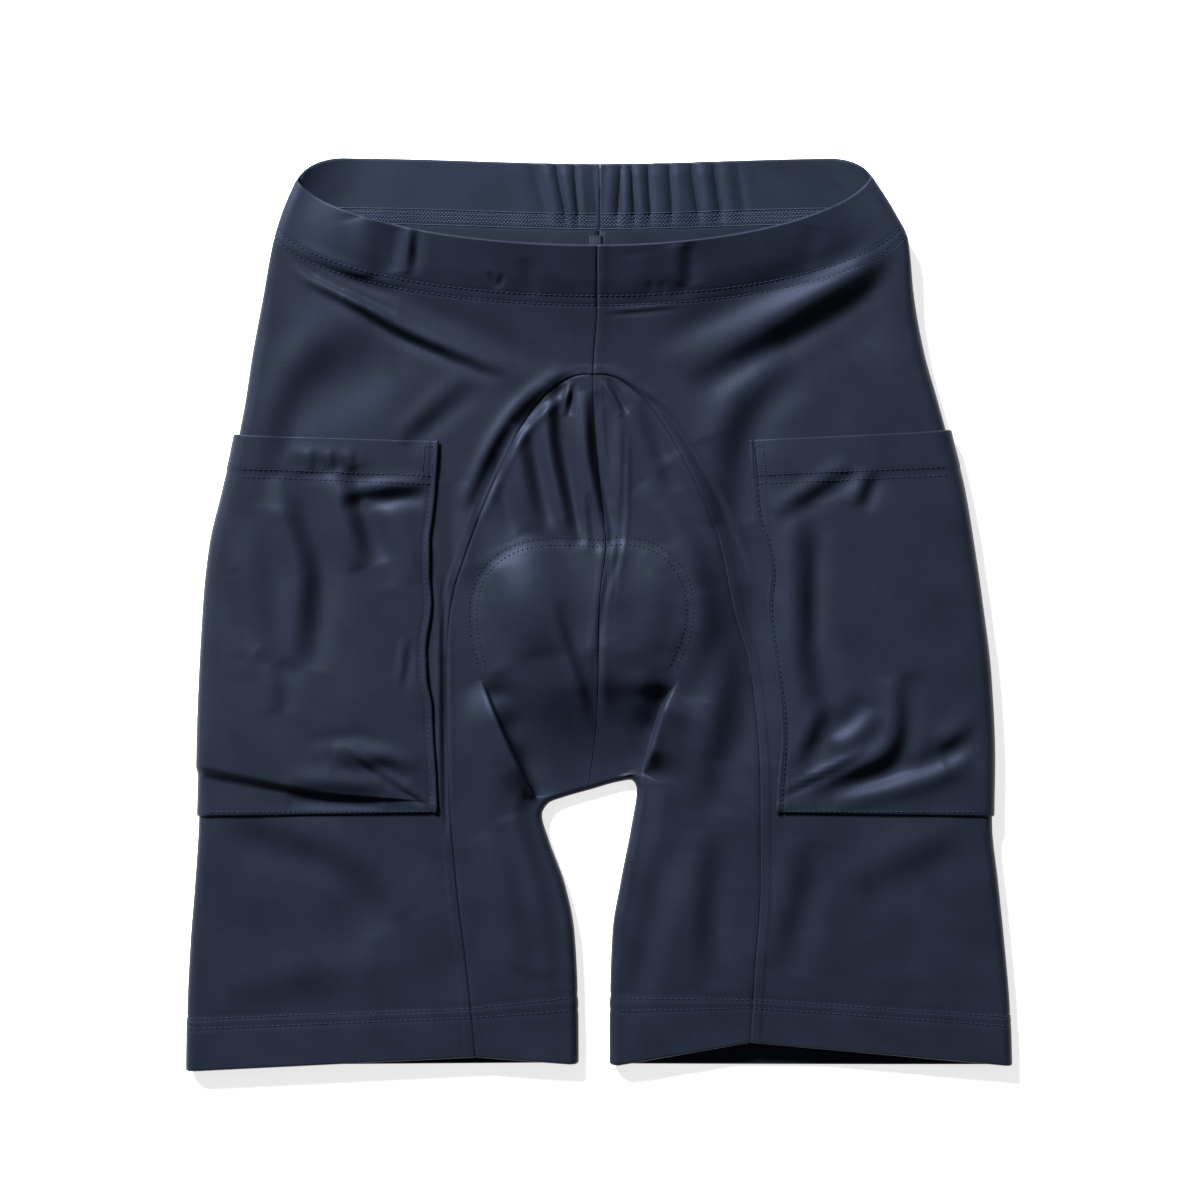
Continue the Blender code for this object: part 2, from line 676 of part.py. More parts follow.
def add_inner_panel(side, material):
    """The inner panel: a strip before and a strip behind the centre seam, one leg below."""
    fold = [1 + i / FOLD_STEPS for i in range(1, FOLD_STEPS)]
    back = [2 + i / BACK_STEPS for i in range(BACK_STEPS + 1)]
    columns = list(INNER_SHARES) + fold + back
    points = {}
    for row, level in enumerate(PANEL_LEVELS):
        at = level + WAIST_SEAM / 2 if level == BAND_FOOT else level
        for col, station in enumerate(columns):
            before = station <= 1 and level < PEAK
            between = 1 < station < 2 and level < CROTCH
            if not before and not between:
                points[row, col] = inner_surface(side, at, station)

    flip = side == "left"
    thick = CLOTH + HEM_EXTRA
    return add_cloth("inner_panel_" + side, points, flip, thick, material, panel_share)


def band_stations(side):
    """Columns of a waistband half, with a pair at each gather of the elastic."""
    found = stations(SIDE_STATIONS)
    half = abs(back_x[side](-0.5))
    marks = [abs(g) for g in GATHERS if g * OUTWARD[side] > 0]
    near = sorted({m + d for m in marks for d in (-GATHER_FLANK, 0.0, GATHER_FLANK)} | {0.0})
    kept = []
    for x in reversed(near):
        if x >= 0 and (not kept or kept[-1] - x > GATHER_LEAST_STEP):
            kept.append(x)
    if kept[-1] != 0.0:
        kept[-1] = 0.0
    return found + [5 + (half - x) / half for x in kept], marks


def add_band(side, material):
    columns, marks = band_stations(side)
    half = abs(back_x[side](-0.5))
    points = {}
    for row, level in enumerate(BAND_LEVELS):
        at = level - WAIST_SEAM / 2 if level == BAND_FOOT else level
        for col, station in enumerate(columns):
            points[row, col] = side_surface(side, at, station)

    def weight(key):
        station = columns[key[1]]
        rib = 0.0
        if station > 5:
            x = half * (6 - station)
            rib = max(0.0, 1 - min(abs(x - m) for m in marks) / GATHER_HALF_WIDTH)
        return (BAND_CLOTH + GATHER_DEPTH * rib) / (BAND_CLOTH + GATHER_DEPTH)

    flip = side == "right"
    thick = BAND_CLOTH + GATHER_DEPTH
    return add_cloth("waistband_" + side, points, flip, thick, material, weight)


def add_pocket(side, material):
    columns = [s for s in stations(SIDE_STATIONS) if 1 <= s <= 4]
    points = {}
    for row, share in enumerate(POCKET_SHARES + SAG_SHARES):
        for col, station in enumerate(columns):
            points[row, col] = pocket_surface(side, share, station)
    return add_cloth("pocket_" + side, points, side == "right", POCKET_CLOTH, material)


def pad_outline(angle):
    """Radius of the pad's outline from its middle, wide at the seat, narrow at the crotch."""
    x, y = math.cos(angle), math.sin(angle)
    wide = REAR_PAD_HALF_WIDTH if y > 0 else mix(REAR_PAD_HALF_WIDTH, NARROW_PAD_HALF_WIDTH, ease(-y))
    tall = REAR_PAD_TOP if y > 0 else NARROW_PAD_FOOT
    return 1 / math.hypot(x / wide, y / tall)


def level_at(y):
    """The level of the crotch panel at a height on the garment."""
    return PEAK + (max(PEAK_Y - y, 0.0) / (PEAK_Y - CROTCH_Y)) ** (2 / 3)


def pad_top(x, y):
    """The folded pad fills the swell of the front lobe and is a thin layer round it."""
    reach = math.hypot((x - PAD_X) / PAD_HALF_WIDTH, (y - PAD_Y) / PAD_HALF_HEIGHT)
    rear = CLOTH + SEAM_GAP + REAR_PAD_THICK
    near = [(x + dx, y + dy) for dx in (-9, -4, 0, 4, 9) for dy in (-9, 0, 9)]
    front = min(open_height(level_at(b), a, b, 0.0) for a, b in near) - CLOTH - PAD_CLEARANCE
    return min(mix(rear, front, ease((1.0 - reach) / 0.4)), front)


def add_pad(material):
    """The seat pad, folded on itself: one rounded solid between front and back."""
    rings, spokes = PAD_RINGS, PAD_SPOKES
    middle = np.array(PAD_MIDDLE)
    foot = CLOTH + SEAM_GAP
    verts, faces = [], []
    for top in (True, False):
        verts.append(np.array([*middle, pad_top(*middle) if top else foot]))
        for ring in range(1, rings + 1):
            for spoke in range(spokes):
                angle = 2 * math.pi * spoke / spokes
                reach = pad_outline(angle) * ring / rings
                x, y = middle + reach * np.array([math.cos(angle), math.sin(angle)])
                y = max(y, WEB_CORNER_LEFT[1] + 8)
                z = pad_top(x, y) if top else foot
                if ring == rings:
                    z = foot + (PAD_RIM if top else 0.0)
                verts.append(np.array([x, y, z]))
    lower = 1 + rings * spokes

    def index(ring, spoke, base):
        return base if ring == 0 else base + 1 + (ring - 1) * spokes + spoke % spokes

    for spoke in range(spokes):
        for ring in range(rings):
            for base in (0, lower):
                quad = [
                    index(ring, spoke, base),
                    index(ring + 1, spoke, base),
                    index(ring + 1, spoke + 1, base),
                    index(ring, spoke + 1, base),
                ]
                quad = quad[:3] if ring == 0 else quad
                faces.append(quad if base == 0 else quad[::-1])
        rim = [(rings, spoke, 0), (rings, spoke, lower), (rings, spoke + 1, lower)]
        rim.append((rings, spoke + 1, 0))
        faces.append([index(*corner) for corner in rim])
    mesh = bpy.data.meshes.new("seat_pad")
    mesh.from_pydata([tuple(v * MM) for v in verts], [], faces)
    mesh.validate()
    mesh.materials.append(material)
    mesh.shade_smooth()
    pad = bpy.data.objects.new("seat_pad", mesh)
    put_in_collection(pad)
    return pad


def add_material(name, colour, roughness):
    material = bpy.data.materials.new(name)
    material.use_nodes = True
    shader = material.node_tree.nodes["Principled BSDF"]
    shader.inputs["Base Color"].default_value = colour
    shader.inputs["Roughness"].default_value = roughness
    shader.inputs["Metallic"].default_value = 0.0
    return material


def clear_scene():
    for thing in list(bpy.data.objects):
        bpy.data.objects.remove(thing)


def main():
    clear_scene()
    knit = add_material("navy_stretch_knit", NAVY, 0.6)
    band = add_material("navy_waistband", NAVY, 0.55)
    foam = add_material("pad_fleece", PAD_GREY, 0.9)
    for side in SIDES:
        add_side_panel(side, knit)
        add_inner_panel(side, knit)
        add_band(side, band)
        add_pocket(side, knit)
    add_pad(foam)


main()
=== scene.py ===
# %% [markdown]
# # Padded cycling shorts in navy knit, laid flat
#
# The garment lies on its back on a white table, with its front up, and the
# camera looks straight down on it. It is a hollow tube of stretch knit: a side
# panel and an inner panel for each leg, a waistband in two halves, a patch
# pocket on each thigh, and a seat pad between the layers.
#
# We first load the construction model as a fixed frame. Each sheet of cloth below takes the place of one of
# its solids, which is hidden once the sheet is made.

# %% Load the frame
import math

import bpy
import numpy as np
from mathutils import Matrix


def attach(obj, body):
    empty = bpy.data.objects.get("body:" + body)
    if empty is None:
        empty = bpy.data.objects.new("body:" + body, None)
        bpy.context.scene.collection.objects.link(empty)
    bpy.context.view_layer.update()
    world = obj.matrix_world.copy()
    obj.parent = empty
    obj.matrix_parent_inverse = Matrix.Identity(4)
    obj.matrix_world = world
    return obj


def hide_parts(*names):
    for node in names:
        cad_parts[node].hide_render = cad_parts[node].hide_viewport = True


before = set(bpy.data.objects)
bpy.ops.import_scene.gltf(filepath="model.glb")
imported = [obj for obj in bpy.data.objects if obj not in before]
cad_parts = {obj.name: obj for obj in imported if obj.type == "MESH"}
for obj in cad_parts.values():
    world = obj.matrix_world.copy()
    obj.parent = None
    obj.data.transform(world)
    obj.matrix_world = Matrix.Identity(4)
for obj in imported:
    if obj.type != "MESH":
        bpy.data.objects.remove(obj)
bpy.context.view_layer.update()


print("nodes in the frame:", sorted(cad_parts))

# %% [markdown]
# ## Sizes of the garment
#
# Lengths are in millimetres, which suits sewing, and become metres only when a
# mesh is made. X runs across the body, +Y towards the waist and +Z up from the
# table. Right and left are the wearer's, so the right leg is at -X.
#
# Every sheet is worked out from two numbers. The level runs down the garment:
# -1 is the top of the waistband, 0 its lower edge, 1 the peak of the crotch
# panel, 2 the crotch and 3 the hem. The station runs round the leg. Because
# two neighbours share their levels, their edges meet all along a seam.

# %% Sizes and levels
MM = 0.001
SIDES = ("right", "left")
OUTWARD = {"right": -1.0, "left": 1.0}

CLOTH = 0.75
BAND_CLOTH = 1.9
HEM_CLOTH = 1.5
PANEL_GAP = 0.03
LAYER_GAP = 0.3

BAND_TOP, BAND_FOOT, PEAK, CROTCH, HEM = -1.0, 0.0, 1.0, 2.0, 3.0
POCKET_TOP, POCKET_FOOT, HEM_STITCH = 1.30, 2.082, 2.816
BAND_TOP_Y, BAND_FOOT_Y, PEAK_Y, CROTCH_Y, HEM_Y = 201.0, 168.0, 131.5, -97.0, -244.0
print("levels run from", BAND_TOP, "at the waist to", HEM, "at the hem")

# %% [markdown]
# ## Outline tables
#
# A pattern cutter keeps a few measured points for each line of the garment and
# draws a smooth curve through them. These short tables do the same: the side
# folds, the arch of the crotch panel, the centre seam, the inner folds and the
# edges of the pockets. They are the frame's own sizes, so the cloth fits it.

# %% Outline tables
LOFT = (
    ("y", "loft", "crown", "roundness"),
    (-244.0, 10.0, 0.0, 0.0),
    (-97.0, 12.0, 0.0, 0.0),
    (50.0, 12.6, 0.0, 0.0),
    (131.5, 13.0, 0.0, 0.2),
    (150.0, 13.5, 0.5, 0.6),
    (168.0, 14.5, 1.5, 1.0),
    (184.5, 15.0, 6.5, 1.0),
    (201.0, 15.0, 12.0, 1.0),
)
RISE = (
    ("level", "side_right", "side_left", "seam_left", "back"),
    (-1.0, 38.0, 40.0, 0.0, 51.5),
    (0.0, 38.0, 40.0, 0.0, 47.0),
    (0.5, 26.0, 30.0, 0.0, 28.0),
    (1.0, 16.5, 22.0, 0.0, 16.0),
    (1.25, 6.0, 9.0, 0.0, 4.0),
    (1.5, 0.0, 0.0, 0.0, 0.0),
    (2.0, -2.0, -2.0, 0.0, 0.0),
    (2.6, -4.0, -4.0, 2.0, -2.0),
    (3.0, -8.0, -5.0, 8.0, -5.0),
)
SIDE = (
    ("y", "right", "left"),
    (-252.0, -227.7, 227.7),
    (-218.0, -227.2, 226.6),
    (-179.0, -225.3, 223.3),
    (-150.0, -223.0, 220.3),
    (-113.0, -220.6, 216.6),
    (-80.0, -219.6, 217.0),
    (-36.0, -218.8, 215.0),
    (8.0, -216.6, 209.6),
    (38.0, -213.0, 205.0),
    (68.0, -205.6, 199.6),
    (93.0, -199.6, 193.2),
    (115.0, -195.4, 187.4),
    (145.0, -190.8, 179.0),
    (176.0, -184.8, 173.3),
    (206.0, -178.8, 169.8),
    (222.0, -173.8, 162.0),
    (241.0, -165.5, 150.0),
)
ARCH = (
    ("depth", "right", "left"),
    (0.0, 3.0, 3.0),
    (8.0, 22.0, 22.0),
    (25.0, 37.0, 37.0),
    (51.0, 51.0, 51.5),
    (88.0, 66.0, 68.5),
    (130.0, 78.5, 77.5),
    (165.0, 80.8, 87.0),
    (228.5, 79.1, 91.9),
    (280.0, 75.0, 92.0),
    (330.0, 69.0, 89.0),
    (375.5, 64.5, 86.5),
)
CENTRE = (
    ("y", "x"),
    (-97.0, -5.0),
    (-54.0, -1.0),
    (8.0, 0.5),
    (38.0, 3.8),
    (68.0, 1.1),
    (94.0, -1.6),
    (131.5, -3.3),
    (168.0, -1.1),
    (201.0, -1.0),
)
FOLD = (
    ("level", "right_x", "right_y", "left_x", "left_y", "radius"),
    (2.00, -5.0, -97.0, -5.0, -97.0, 3.2),
    (2.08, -19.0, -101.0, 9.0, -93.0, 3.2),
    (2.15, -28.0, -104.5, 17.5, -91.5, 3.8),
    (2.22, -31.5, -111.0, 20.8, -97.0, 4.6),
    (2.34, -27.5, -125.0, 17.5, -118.0, 5.0),
    (2.50, -18.5, -150.0, 11.5, -149.0, 5.2),
    (2.66, -13.5, -176.0, 7.2, -176.0, 5.2),
    (2.82, -11.8, -212.0, 6.0, -212.0, 5.0),
    (3.00, -11.6, -248.0, 6.0, -248.6, 4.8),
)
BACK = (
    ("level", "right", "left"),
    (-1.0, -112.0, 112.0),
    (1.0, -124.0, 124.0),
    (2.0, -146.0, 146.0),
    (3.0, -152.0, 152.0),
)
POCKET_EDGE = (
    ("y", "right", "left"),
    (-107.0, -88.2, 97.0),
    (-86.0, -89.0, 98.4),
    (-68.0, -90.4, 99.8),
    (-50.0, -91.2, 98.8),
    (-36.0, -94.0, 97.2),
    (-20.0, -94.6, 94.6),
    (6.0, -91.4, 92.0),
    (22.0, -92.6, 93.6),
    (41.0, -92.6, 90.4),
    (50.0, -91.4, 86.4),
    (64.0, -89.8, 84.6),
    (94.0, -87.6, 82.2),
)
# How far a pocket goes under, where its edge runs on above and below it as a
# share of the front, and how deep the panel sinks below it.
POCKET_WRAP, ABOVE_POCKET, BELOW_POCKET, POCKET_ROOM = 44.0, 0.45, 0.12, 2.6
BACK_DIP, BACK_DIP_WIDTH, BACK_CENTRE_X = 3.6, 95.0, 0.5
SIDE_CURL, SIDE_CURL_WIDTH, BACK_STEP = 6.5, 36.0, 1.9
TABLES = (LOFT, RISE, SIDE, ARCH, CENTRE, FOLD, BACK, POCKET_EDGE)
print("points in the outline tables:", sum(len(table) - 1 for table in TABLES))


# %% [markdown]
# ## Reading a table as a smooth line
#
# A straight line between the rows would leave corners in the cloth. A cubic
# with harmonic slopes has none, and unlike a free spline it never swings past
# its points. All the helpers work on whole arrays, because a sheet has tens of
# thousands of points.

# %% Smooth lines
def smooth_line(table, key, value):
    """A function that reads one column of a table, smoothly, at any key."""
    names, *rows = table
    keys = np.array([row[names.index(key)] for row in rows], float)
    values = np.array([row[names.index(value)] for row in rows], float)
    steps = np.diff(keys)
    rates = np.diff(values) / steps
    slopes = np.zeros(len(keys))
    slopes[0], slopes[-1] = rates[0], rates[-1]
    both = rates[:-1] * rates[1:]
    total = rates[:-1] + rates[1:]
    slopes[1:-1] = np.where(both > 0, 2 * both / np.where(total == 0, 1, total), 0)

    def read(at):
        at = np.clip(at, keys[0], keys[-1])
        i = np.clip(np.searchsorted(keys, at, side="right") - 1, 0, len(steps) - 1)
        t = (at - keys[i]) / steps[i]
        start = (1 + 2 * t) * (1 - t) ** 2 * values[i] + t * (1 - t) ** 2 * steps[i] * slopes[i]
        end = t * t * (3 - 2 * t) * values[i + 1] - t * t * (1 - t) * steps[i] * slopes[i + 1]
        return start + end

    return read


loft_at = smooth_line(LOFT, "y", "loft")
crown_at = smooth_line(LOFT, "y", "crown")
roundness_at = smooth_line(LOFT, "y", "roundness")
back_rise = smooth_line(RISE, "level", "back")
left_seam_rise = smooth_line(RISE, "level", "seam_left")
centre_x = smooth_line(CENTRE, "y", "x")
fold_radius = smooth_line(FOLD, "level", "radius")
side_rise = {s: smooth_line(RISE, "level", "side_" + s) for s in SIDES}
side_x = {s: smooth_line(SIDE, "y", s) for s in SIDES}
arch = {s: smooth_line(ARCH, "depth", s) for s in SIDES}
fold_x = {s: smooth_line(FOLD, "level", s + "_x") for s in SIDES}
fold_y = {s: smooth_line(FOLD, "level", s + "_y") for s in SIDES}
back_x = {s: smooth_line(BACK, "level", s) for s in SIDES}
pocket_edge = {s: smooth_line(POCKET_EDGE, "y", s) for s in SIDES}


def ease(t):
    """0 to 1 with a level start and end."""
    t = np.clip(t, 0.0, 1.0)
    return t * t * (3 - 2 * t)


def ramp(value, start, end):
    """0 up to start and 1 from end on, gradual between them, in either direction."""
    return ease((value - start) / (end - start))


def mix(a, b, t):
    return a + (b - a) * t


def soft_floor(values, lowest):
    """Values kept above a lower limit, without a corner where they meet it."""
    softness = 0.4
    return lowest + np.logaddexp(0, (values - lowest) / softness) * softness


def bell(distance, width):
    return np.exp(-((distance / width) ** 2))


def unit(vectors):
    """Vectors scaled to length one."""
    return vectors / (np.linalg.norm(vectors, axis=-1, keepdims=True) + 1e-12)


print("side fold at the pocket's mouth:", round(float(side_x["left"](93.0)), 1), "mm")


# %% [markdown]
# ## Lines of the garment
#
# Each function gives the plan position of one line at a level, as a pair of x
# and y: the front seam, the side fold, the centre front, the back seam and the
# inner fold of the leg.

# %% Lines at a level
BODY_SPACING = 1.5
SEAM_STEP, FOLD_STEP = 0.01, 0.012


def centre_y(level):
    above = mix(BAND_FOOT_Y, BAND_TOP_Y, -level)
    band = mix(BAND_FOOT_Y, PEAK_Y, level)
    body = PEAK_Y + (CROTCH_Y - PEAK_Y) * np.clip(level - PEAK, 0, 1) ** BODY_SPACING
    leg = mix(CROTCH_Y, HEM_Y, level - CROTCH)
    below_peak = np.where(level <= CROTCH, body, leg)
    return np.where(level <= BAND_FOOT, above, np.where(level <= PEAK, band, below_peak))


def loft(level):
    return loft_at(centre_y(level))


def crown(level):
    return crown_at(centre_y(level))


def roundness(level):
    return roundness_at(centre_y(level))


def level_of(y):
    """The level of the centre front at a height below the peak."""
    return PEAK + (np.clip(PEAK_Y - y, 0, None) / (PEAK_Y - CROTCH_Y)) ** (1 / BODY_SPACING)


def arch_offset(side, depth):
    """Half width of the crotch panel, round at its peak."""
    first, start = ARCH[2][0], ARCH[1][1]
    low = start + (arch[side](first) - start) * np.sqrt(np.clip(depth / first, 0, 1))
    return np.where(depth < first, low, arch[side](depth))


def bare_seam(side, level):
    """Where side and inner panel meet, or the centre front above the peak."""
    y = centre_y(level)
    x = centre_x(PEAK_Y) + OUTWARD[side] * arch_offset(side, PEAK_Y - y)
    rise = left_seam_rise(level) if side == "left" else 0.0
    above = level < PEAK
    return np.stack([np.where(above, centre_x(y), x), np.where(above, y, y + rise)])


def front_seam(side, level, gap):
    """The front seam moved off itself by gap, away from the inner panel."""
    out = OUTWARD[side]
    after = bare_seam(side, np.minimum(level + SEAM_STEP, HEM))
    run_x, run_y = after - bare_seam(side, np.maximum(level - SEAM_STEP, PEAK))
    size = np.hypot(run_x, run_y) + 1e-9
    above = level < PEAK
    way_x = np.where(above, out, -run_y * out / size)
    way_y = np.where(above, 0.0, run_x * out / size)
    return bare_seam(side, level) + gap * np.stack([way_x, way_y])


def side_point(side, level):
    y = centre_y(level) + side_rise[side](level)
    return np.stack([side_x[side](y), y])


def centre_front(side, level):
    y = centre_y(level)
    return np.stack([centre_x(y) + OUTWARD[side] * PANEL_GAP, y])


def back_y(level):
    return centre_y(level) + back_rise(level)


def back_dip(level, x):
    """The back edge of the waist sags a little at its centre."""
    return BACK_DIP * bell(x, BACK_DIP_WIDTH) * ramp(level, PEAK, BAND_FOOT)


def centre_back(side, level):
    x = mix(BACK_CENTRE_X, centre_x(CROTCH_Y), ramp(level, 1.5, CROTCH))
    return np.stack([x + OUTWARD[side] * PANEL_GAP, back_y(level)])


def back_seam(side, level, gap):
    return np.stack([back_x[side](level) + OUTWARD[side] * gap, back_y(level)])


def fold_at(side, level):
    return np.stack([fold_x[side](level), fold_y[side](level)])


def fold_frame(side, level):
    """Where the inner fold starts to turn, and the way it faces in plan."""
    out = OUTWARD[side]
    low, high = np.maximum(level - FOLD_STEP, CROTCH), np.minimum(level + FOLD_STEP, HEM)
    run_x, run_y = fold_at(side, high) - fold_at(side, low)
    face = np.stack([run_y, -run_x]) * out / np.hypot(run_x, run_y)
    turn = fold_at(side, level) - face * fold_radius(level)
    turn[0] += np.where(level <= CROTCH, out * PANEL_GAP, 0.0)
    return turn, face


seam_foot = [round(float(v), 1) for v in bare_seam("left", np.array(HEM))]
print("front seam of the left leg at the hem:", seam_foot)

# %% [markdown]
# ## Creases, placed one by one
#
# Nothing makes cloth look like cloth more than its creases. A simulation would
# give some creases, but not the ones that this garment has. So each is a short
# stroke: a height, a half width and three to six points.
#
# The eye doesn't see the top of a fold but its flanks, one bright and one dark.
# So most strokes are shades, which say where a flank lies. A shade with a
# negative height falls away from the lamp there, and looks dark. A positive one
# rises against it, and looks bright. A swell is a plain round rise or trough,
# and a pinch is a sharp crease. All die away at both ends.

# %% Stroke table of the front
LAMP_X, LAMP_Y = 0.55, -0.835
FRONT_SHADES = (
    # The drag fold of the right hip, from the waist to the crotch panel.
    (1.1, 6.5, ((-140, 181), (-118, 173), (-92, 161), (-60, 145), (-26, 128))),
    (1.2, 2.4, ((-180, 209), (-168, 192), (-152, 181), (-130, 171), (-112, 163))),
    (-1.9, 3.0, ((-158, 183), (-135, 169.5), (-112, 155.5), (-90, 146), (-54, 131))),
    (-1.0, 3.2, ((-172, 203), (-142, 186), (-108, 177))),
    # The larger drag fold of the left hip.
    (1.3, 7.0, ((165, 206), (143, 192), (106, 178.5), (70, 162.5), (30, 140))),
    (-2.9, 7.0, ((168, 206), (156, 190), (131, 173), (106, 158.5), (82, 145), (48, 127))),
    (-1.4, 12.0, ((172, 190), (150, 172), (118, 152), (86, 132))),
    (0.6, 2.0, ((167, 215), (161, 206), (152, 196))),
    (-0.4, 1.3, ((3, 165), (24, 166), (44, 168.5))),
    # Shaded hollows of the hips.
    (-2.6, 13.0, ((-122, 152), (-150, 142), (-176, 122), (-190, 88), (-194, 60))),
    (0.7, 12.0, ((-96, 140), (-130, 116), (-150, 92))),
    (-1.2, 5.0, ((-70, 128), (-91, 111), (-110, 92))),
    (-2.4, 9.0, ((108, 138), (86, 122), (75, 102), (71, 76), (73, 50))),
    (-0.3, 11.0, ((146, 140), (114, 118), (98, 92))),
    (-1.1, 11.0, ((172, 184), (182, 152), (190, 112))),
    # The trough outside the arched seam, and the lit edge inside it.
    (-1.9, 3.4, ((-16, 133), (-37, 119), (-53, 99), (-63, 80), (-72, 58))),
    (1.0, 2.2, ((-11, 127), (-33, 112), (-47, 93), (-56.5, 75), (-66, 52))),
    (-0.8, 1.6, ((2, 134), (30, 120), (46, 101), (70, 62), (84, 20))),
    # Ridges beside the right front seam, and the dark fall beyond the pad.
    (1.0, 4.5, ((-79, 72), (-76, 48), (-76, 20))),
    (0.6, 1.6, ((-84, 22), (-84, -20), (-83.5, -80), (-83, -122))),
    (-0.8, 2.0, ((-86.5, 22), (-86.5, -20), (-86, -80), (-85.5, -122))),
    (-3.0, 8.0, ((30, 76), (54, 44), (61, 10), (60.5, -16), (50, -46))),
    (-3.2, 11.0, ((48, 92), (66, 52), (76, 10), (78, -34), (74, -80))),
    (-2.2, 9.0, ((68, 14), (70, -28), (67, -68), (58, -108))),
    (-1.1, 4.5, ((16, 127), (37, 107), (52, 84), (64, 54), (73, 20))),
    # Gathers that fan from the peak of the crotch panel to the pad.
    (-1.4, 1.8, ((-14.5, 127), (-16.5, 120), (-17.5, 109))),
    (-2.9, 3.8, ((-24, 126), (-26.5, 106), (-21.5, 74), (-12, 38))),
    (1.2, 3.0, ((-14, 122), (-15, 98), (-12, 70), (-9, 46))),
    (-2.8, 3.0, ((-5, 122), (-5.5, 96), (-0.5, 69), (5.5, 38))),
    (-1.2, 2.4, ((-8, 66), (-5.5, 50), (-3.5, 34))),
    (1.0, 3.4, ((8, 112), (8, 88), (10, 60))),
    (-1.3, 1.7, ((3, 129), (9, 121), (14, 109))),
    (-1.2, 5.0, ((20, 116), (30, 92), (38, 66))),
    (-2.6, 4.5, ((-42, 106), (-38.5, 76), (-30, 46))),
    (1.2, 4.0, ((-52, 88), (-50, 66), (-44, 44))),
    (0.5, 1.2, ((15, 100), (14.7, 70), (13.5, 38), (7, 2))),
    (0.45, 1.1, ((12.5, 34), (6.5, 18), (1, -2))),
    # Drag lines over the pad and the web below it.
    (-0.9, 1.6, ((5, 48), (3, 24), (1, 4), (-2, -18), (-3, -38))),
    (-2.4, 12.0, ((-34, 46), (-22, 20), (-14, -20))),
    (1.6, 10.0, ((-58, 28), (-54, 0), (-44, -26))),
    (1.6, 10.0, ((20, 34), (28, 8), (26, -20))),
    (-1.5, 3.2, ((-24, 6), (-12, -31), (-6.5, -47), (-1, -74))),
    (0.8, 3.2, ((-2, -22), (1, -40), (2, -58))),
    (-1.8, 5.5, ((-60, -34), (-49, -58), (-40, -82), (-31, -101))),
    (-1.6, 6.0, ((27, -30), (31, -50), (27, -92))),
    # Legs.
    (-1.6, 9.0, ((-214, -112), (-170, -122), (-130, -142), (-112, -170))),
    (0.8, 13.0, ((-150, -206), (-120, -176), (-96, -130))),
    (-0.7, 10.0, ((-206, -214), (-160, -202), (-118, -196))),
    (-1.6, 7.0, ((-58, -118), (-44, -150), (-38, -196))),
    (-1.6, 8.0, ((116, -124), (108, -158), (98, -196))),
    (0.7, 11.0, ((166, -206), (132, -184), (110, -150))),
    (-1.2, 9.0, ((212, -122), (176, -130), (140, -154))),
    (1.2, 8.0, ((26, -214), (34, -180), (44, -130))),
    (-1.6, 7.0, ((58, -206), (56, -170), (62, -120))),
)
FRONT_SWELLS = ((2.6, 8.0, ((-46, -110), (-35, -150), (-31, -200))),)
print("strokes on the front:", len(FRONT_SHADES) + len(FRONT_SWELLS))


# %% [markdown]
# Distance to a line of points is the one measure that all creases, seams and
# stitched channels share, so it gets its own function. It also says how far
# along the line the nearest place is, and on which side of it the point lies.

# %% Distance to a line, and the height of all strokes
STROKE_FADE, SWELL_FALL = 0.6, 0.7
PINCH_FALL, PINCH_ROUND, PINCH_TIP = 1.5, 0.06, 0.245


def near_line(x, y, points):
    """Distance to a line of points, the share along it, and the side, 1 or -1."""
    best = np.full(np.shape(x), 1e9)
    along = np.zeros(np.shape(x))
    turn = np.ones(np.shape(x))
    lengths = [math.dist(points[i], points[i + 1]) for i in range(len(points) - 1)]
    done = 0.0
    for i, length in enumerate(lengths):
        (ax, ay), (bx, by) = points[i], points[i + 1]
        t = np.clip(((x - ax) * (bx - ax) + (y - ay) * (by - ay)) / length**2, 0, 1)
        dx, dy = x - (ax + (bx - ax) * t), y - (ay + (by - ay) * t)
        d = np.hypot(dx, dy)
        closer = d < best
        best = np.where(closer, d, best)
        along = np.where(closer, (done + t * length) / sum(lengths), along)
        turn = np.where(closer, np.sign((bx - ax) * dy - (by - ay) * dx), turn)
        done += length
    return best, along, turn


def curved(points, steps=5):
    """The same line with rounded corners, by quadratic arcs between midpoints."""
    p = np.array(points, float)
    found = [tuple(p[0])]
    for i in range(1, len(p) - 1):
        a = p[0] if i == 1 else (p[i - 1] + p[i]) / 2
        b = p[-1] if i == len(p) - 2 else (p[i] + p[i + 1]) / 2
        for j in range(1, steps + 1):
            t = j / steps
            found.append(tuple((1 - t) ** 2 * a + 2 * t * (1 - t) * p[i] + t * t * b))
    return found


def stroke_heights(x, y, shades, swells=(), pinches=()):
    """The sum of the listed strokes at plan points."""
    total = np.zeros(np.shape(x))
    for kind, rows in (("shade", shades), ("swell", swells), ("pinch", pinches)):
        for height, width, points in rows:
            d, share, turn = near_line(x, y, curved(points))
            (ax, ay), (bx, by) = points[0], points[-1]
            beyond = turn * np.sign((bx - ax) * LAMP_Y - (by - ay) * LAMP_X)
            fade = np.sin(math.pi * np.clip(share, 0.0, 1.0)) ** STROKE_FADE
            reach = d / width
            if kind == "swell":
                shape = np.exp(-SWELL_FALL * reach**2)
            elif kind == "pinch":
                shape = np.exp(-PINCH_FALL * (np.sqrt(reach**2 + PINCH_ROUND) - PINCH_TIP))
            else:
                shape = beyond * reach * np.exp(0.5 - 0.5 * reach**2)
            total += height * fade * shape
    return total


fold_height = stroke_heights(np.array(-118.0), np.array(173.0), FRONT_SHADES)
print("height of the right hip fold:", round(float(fold_height), 2))

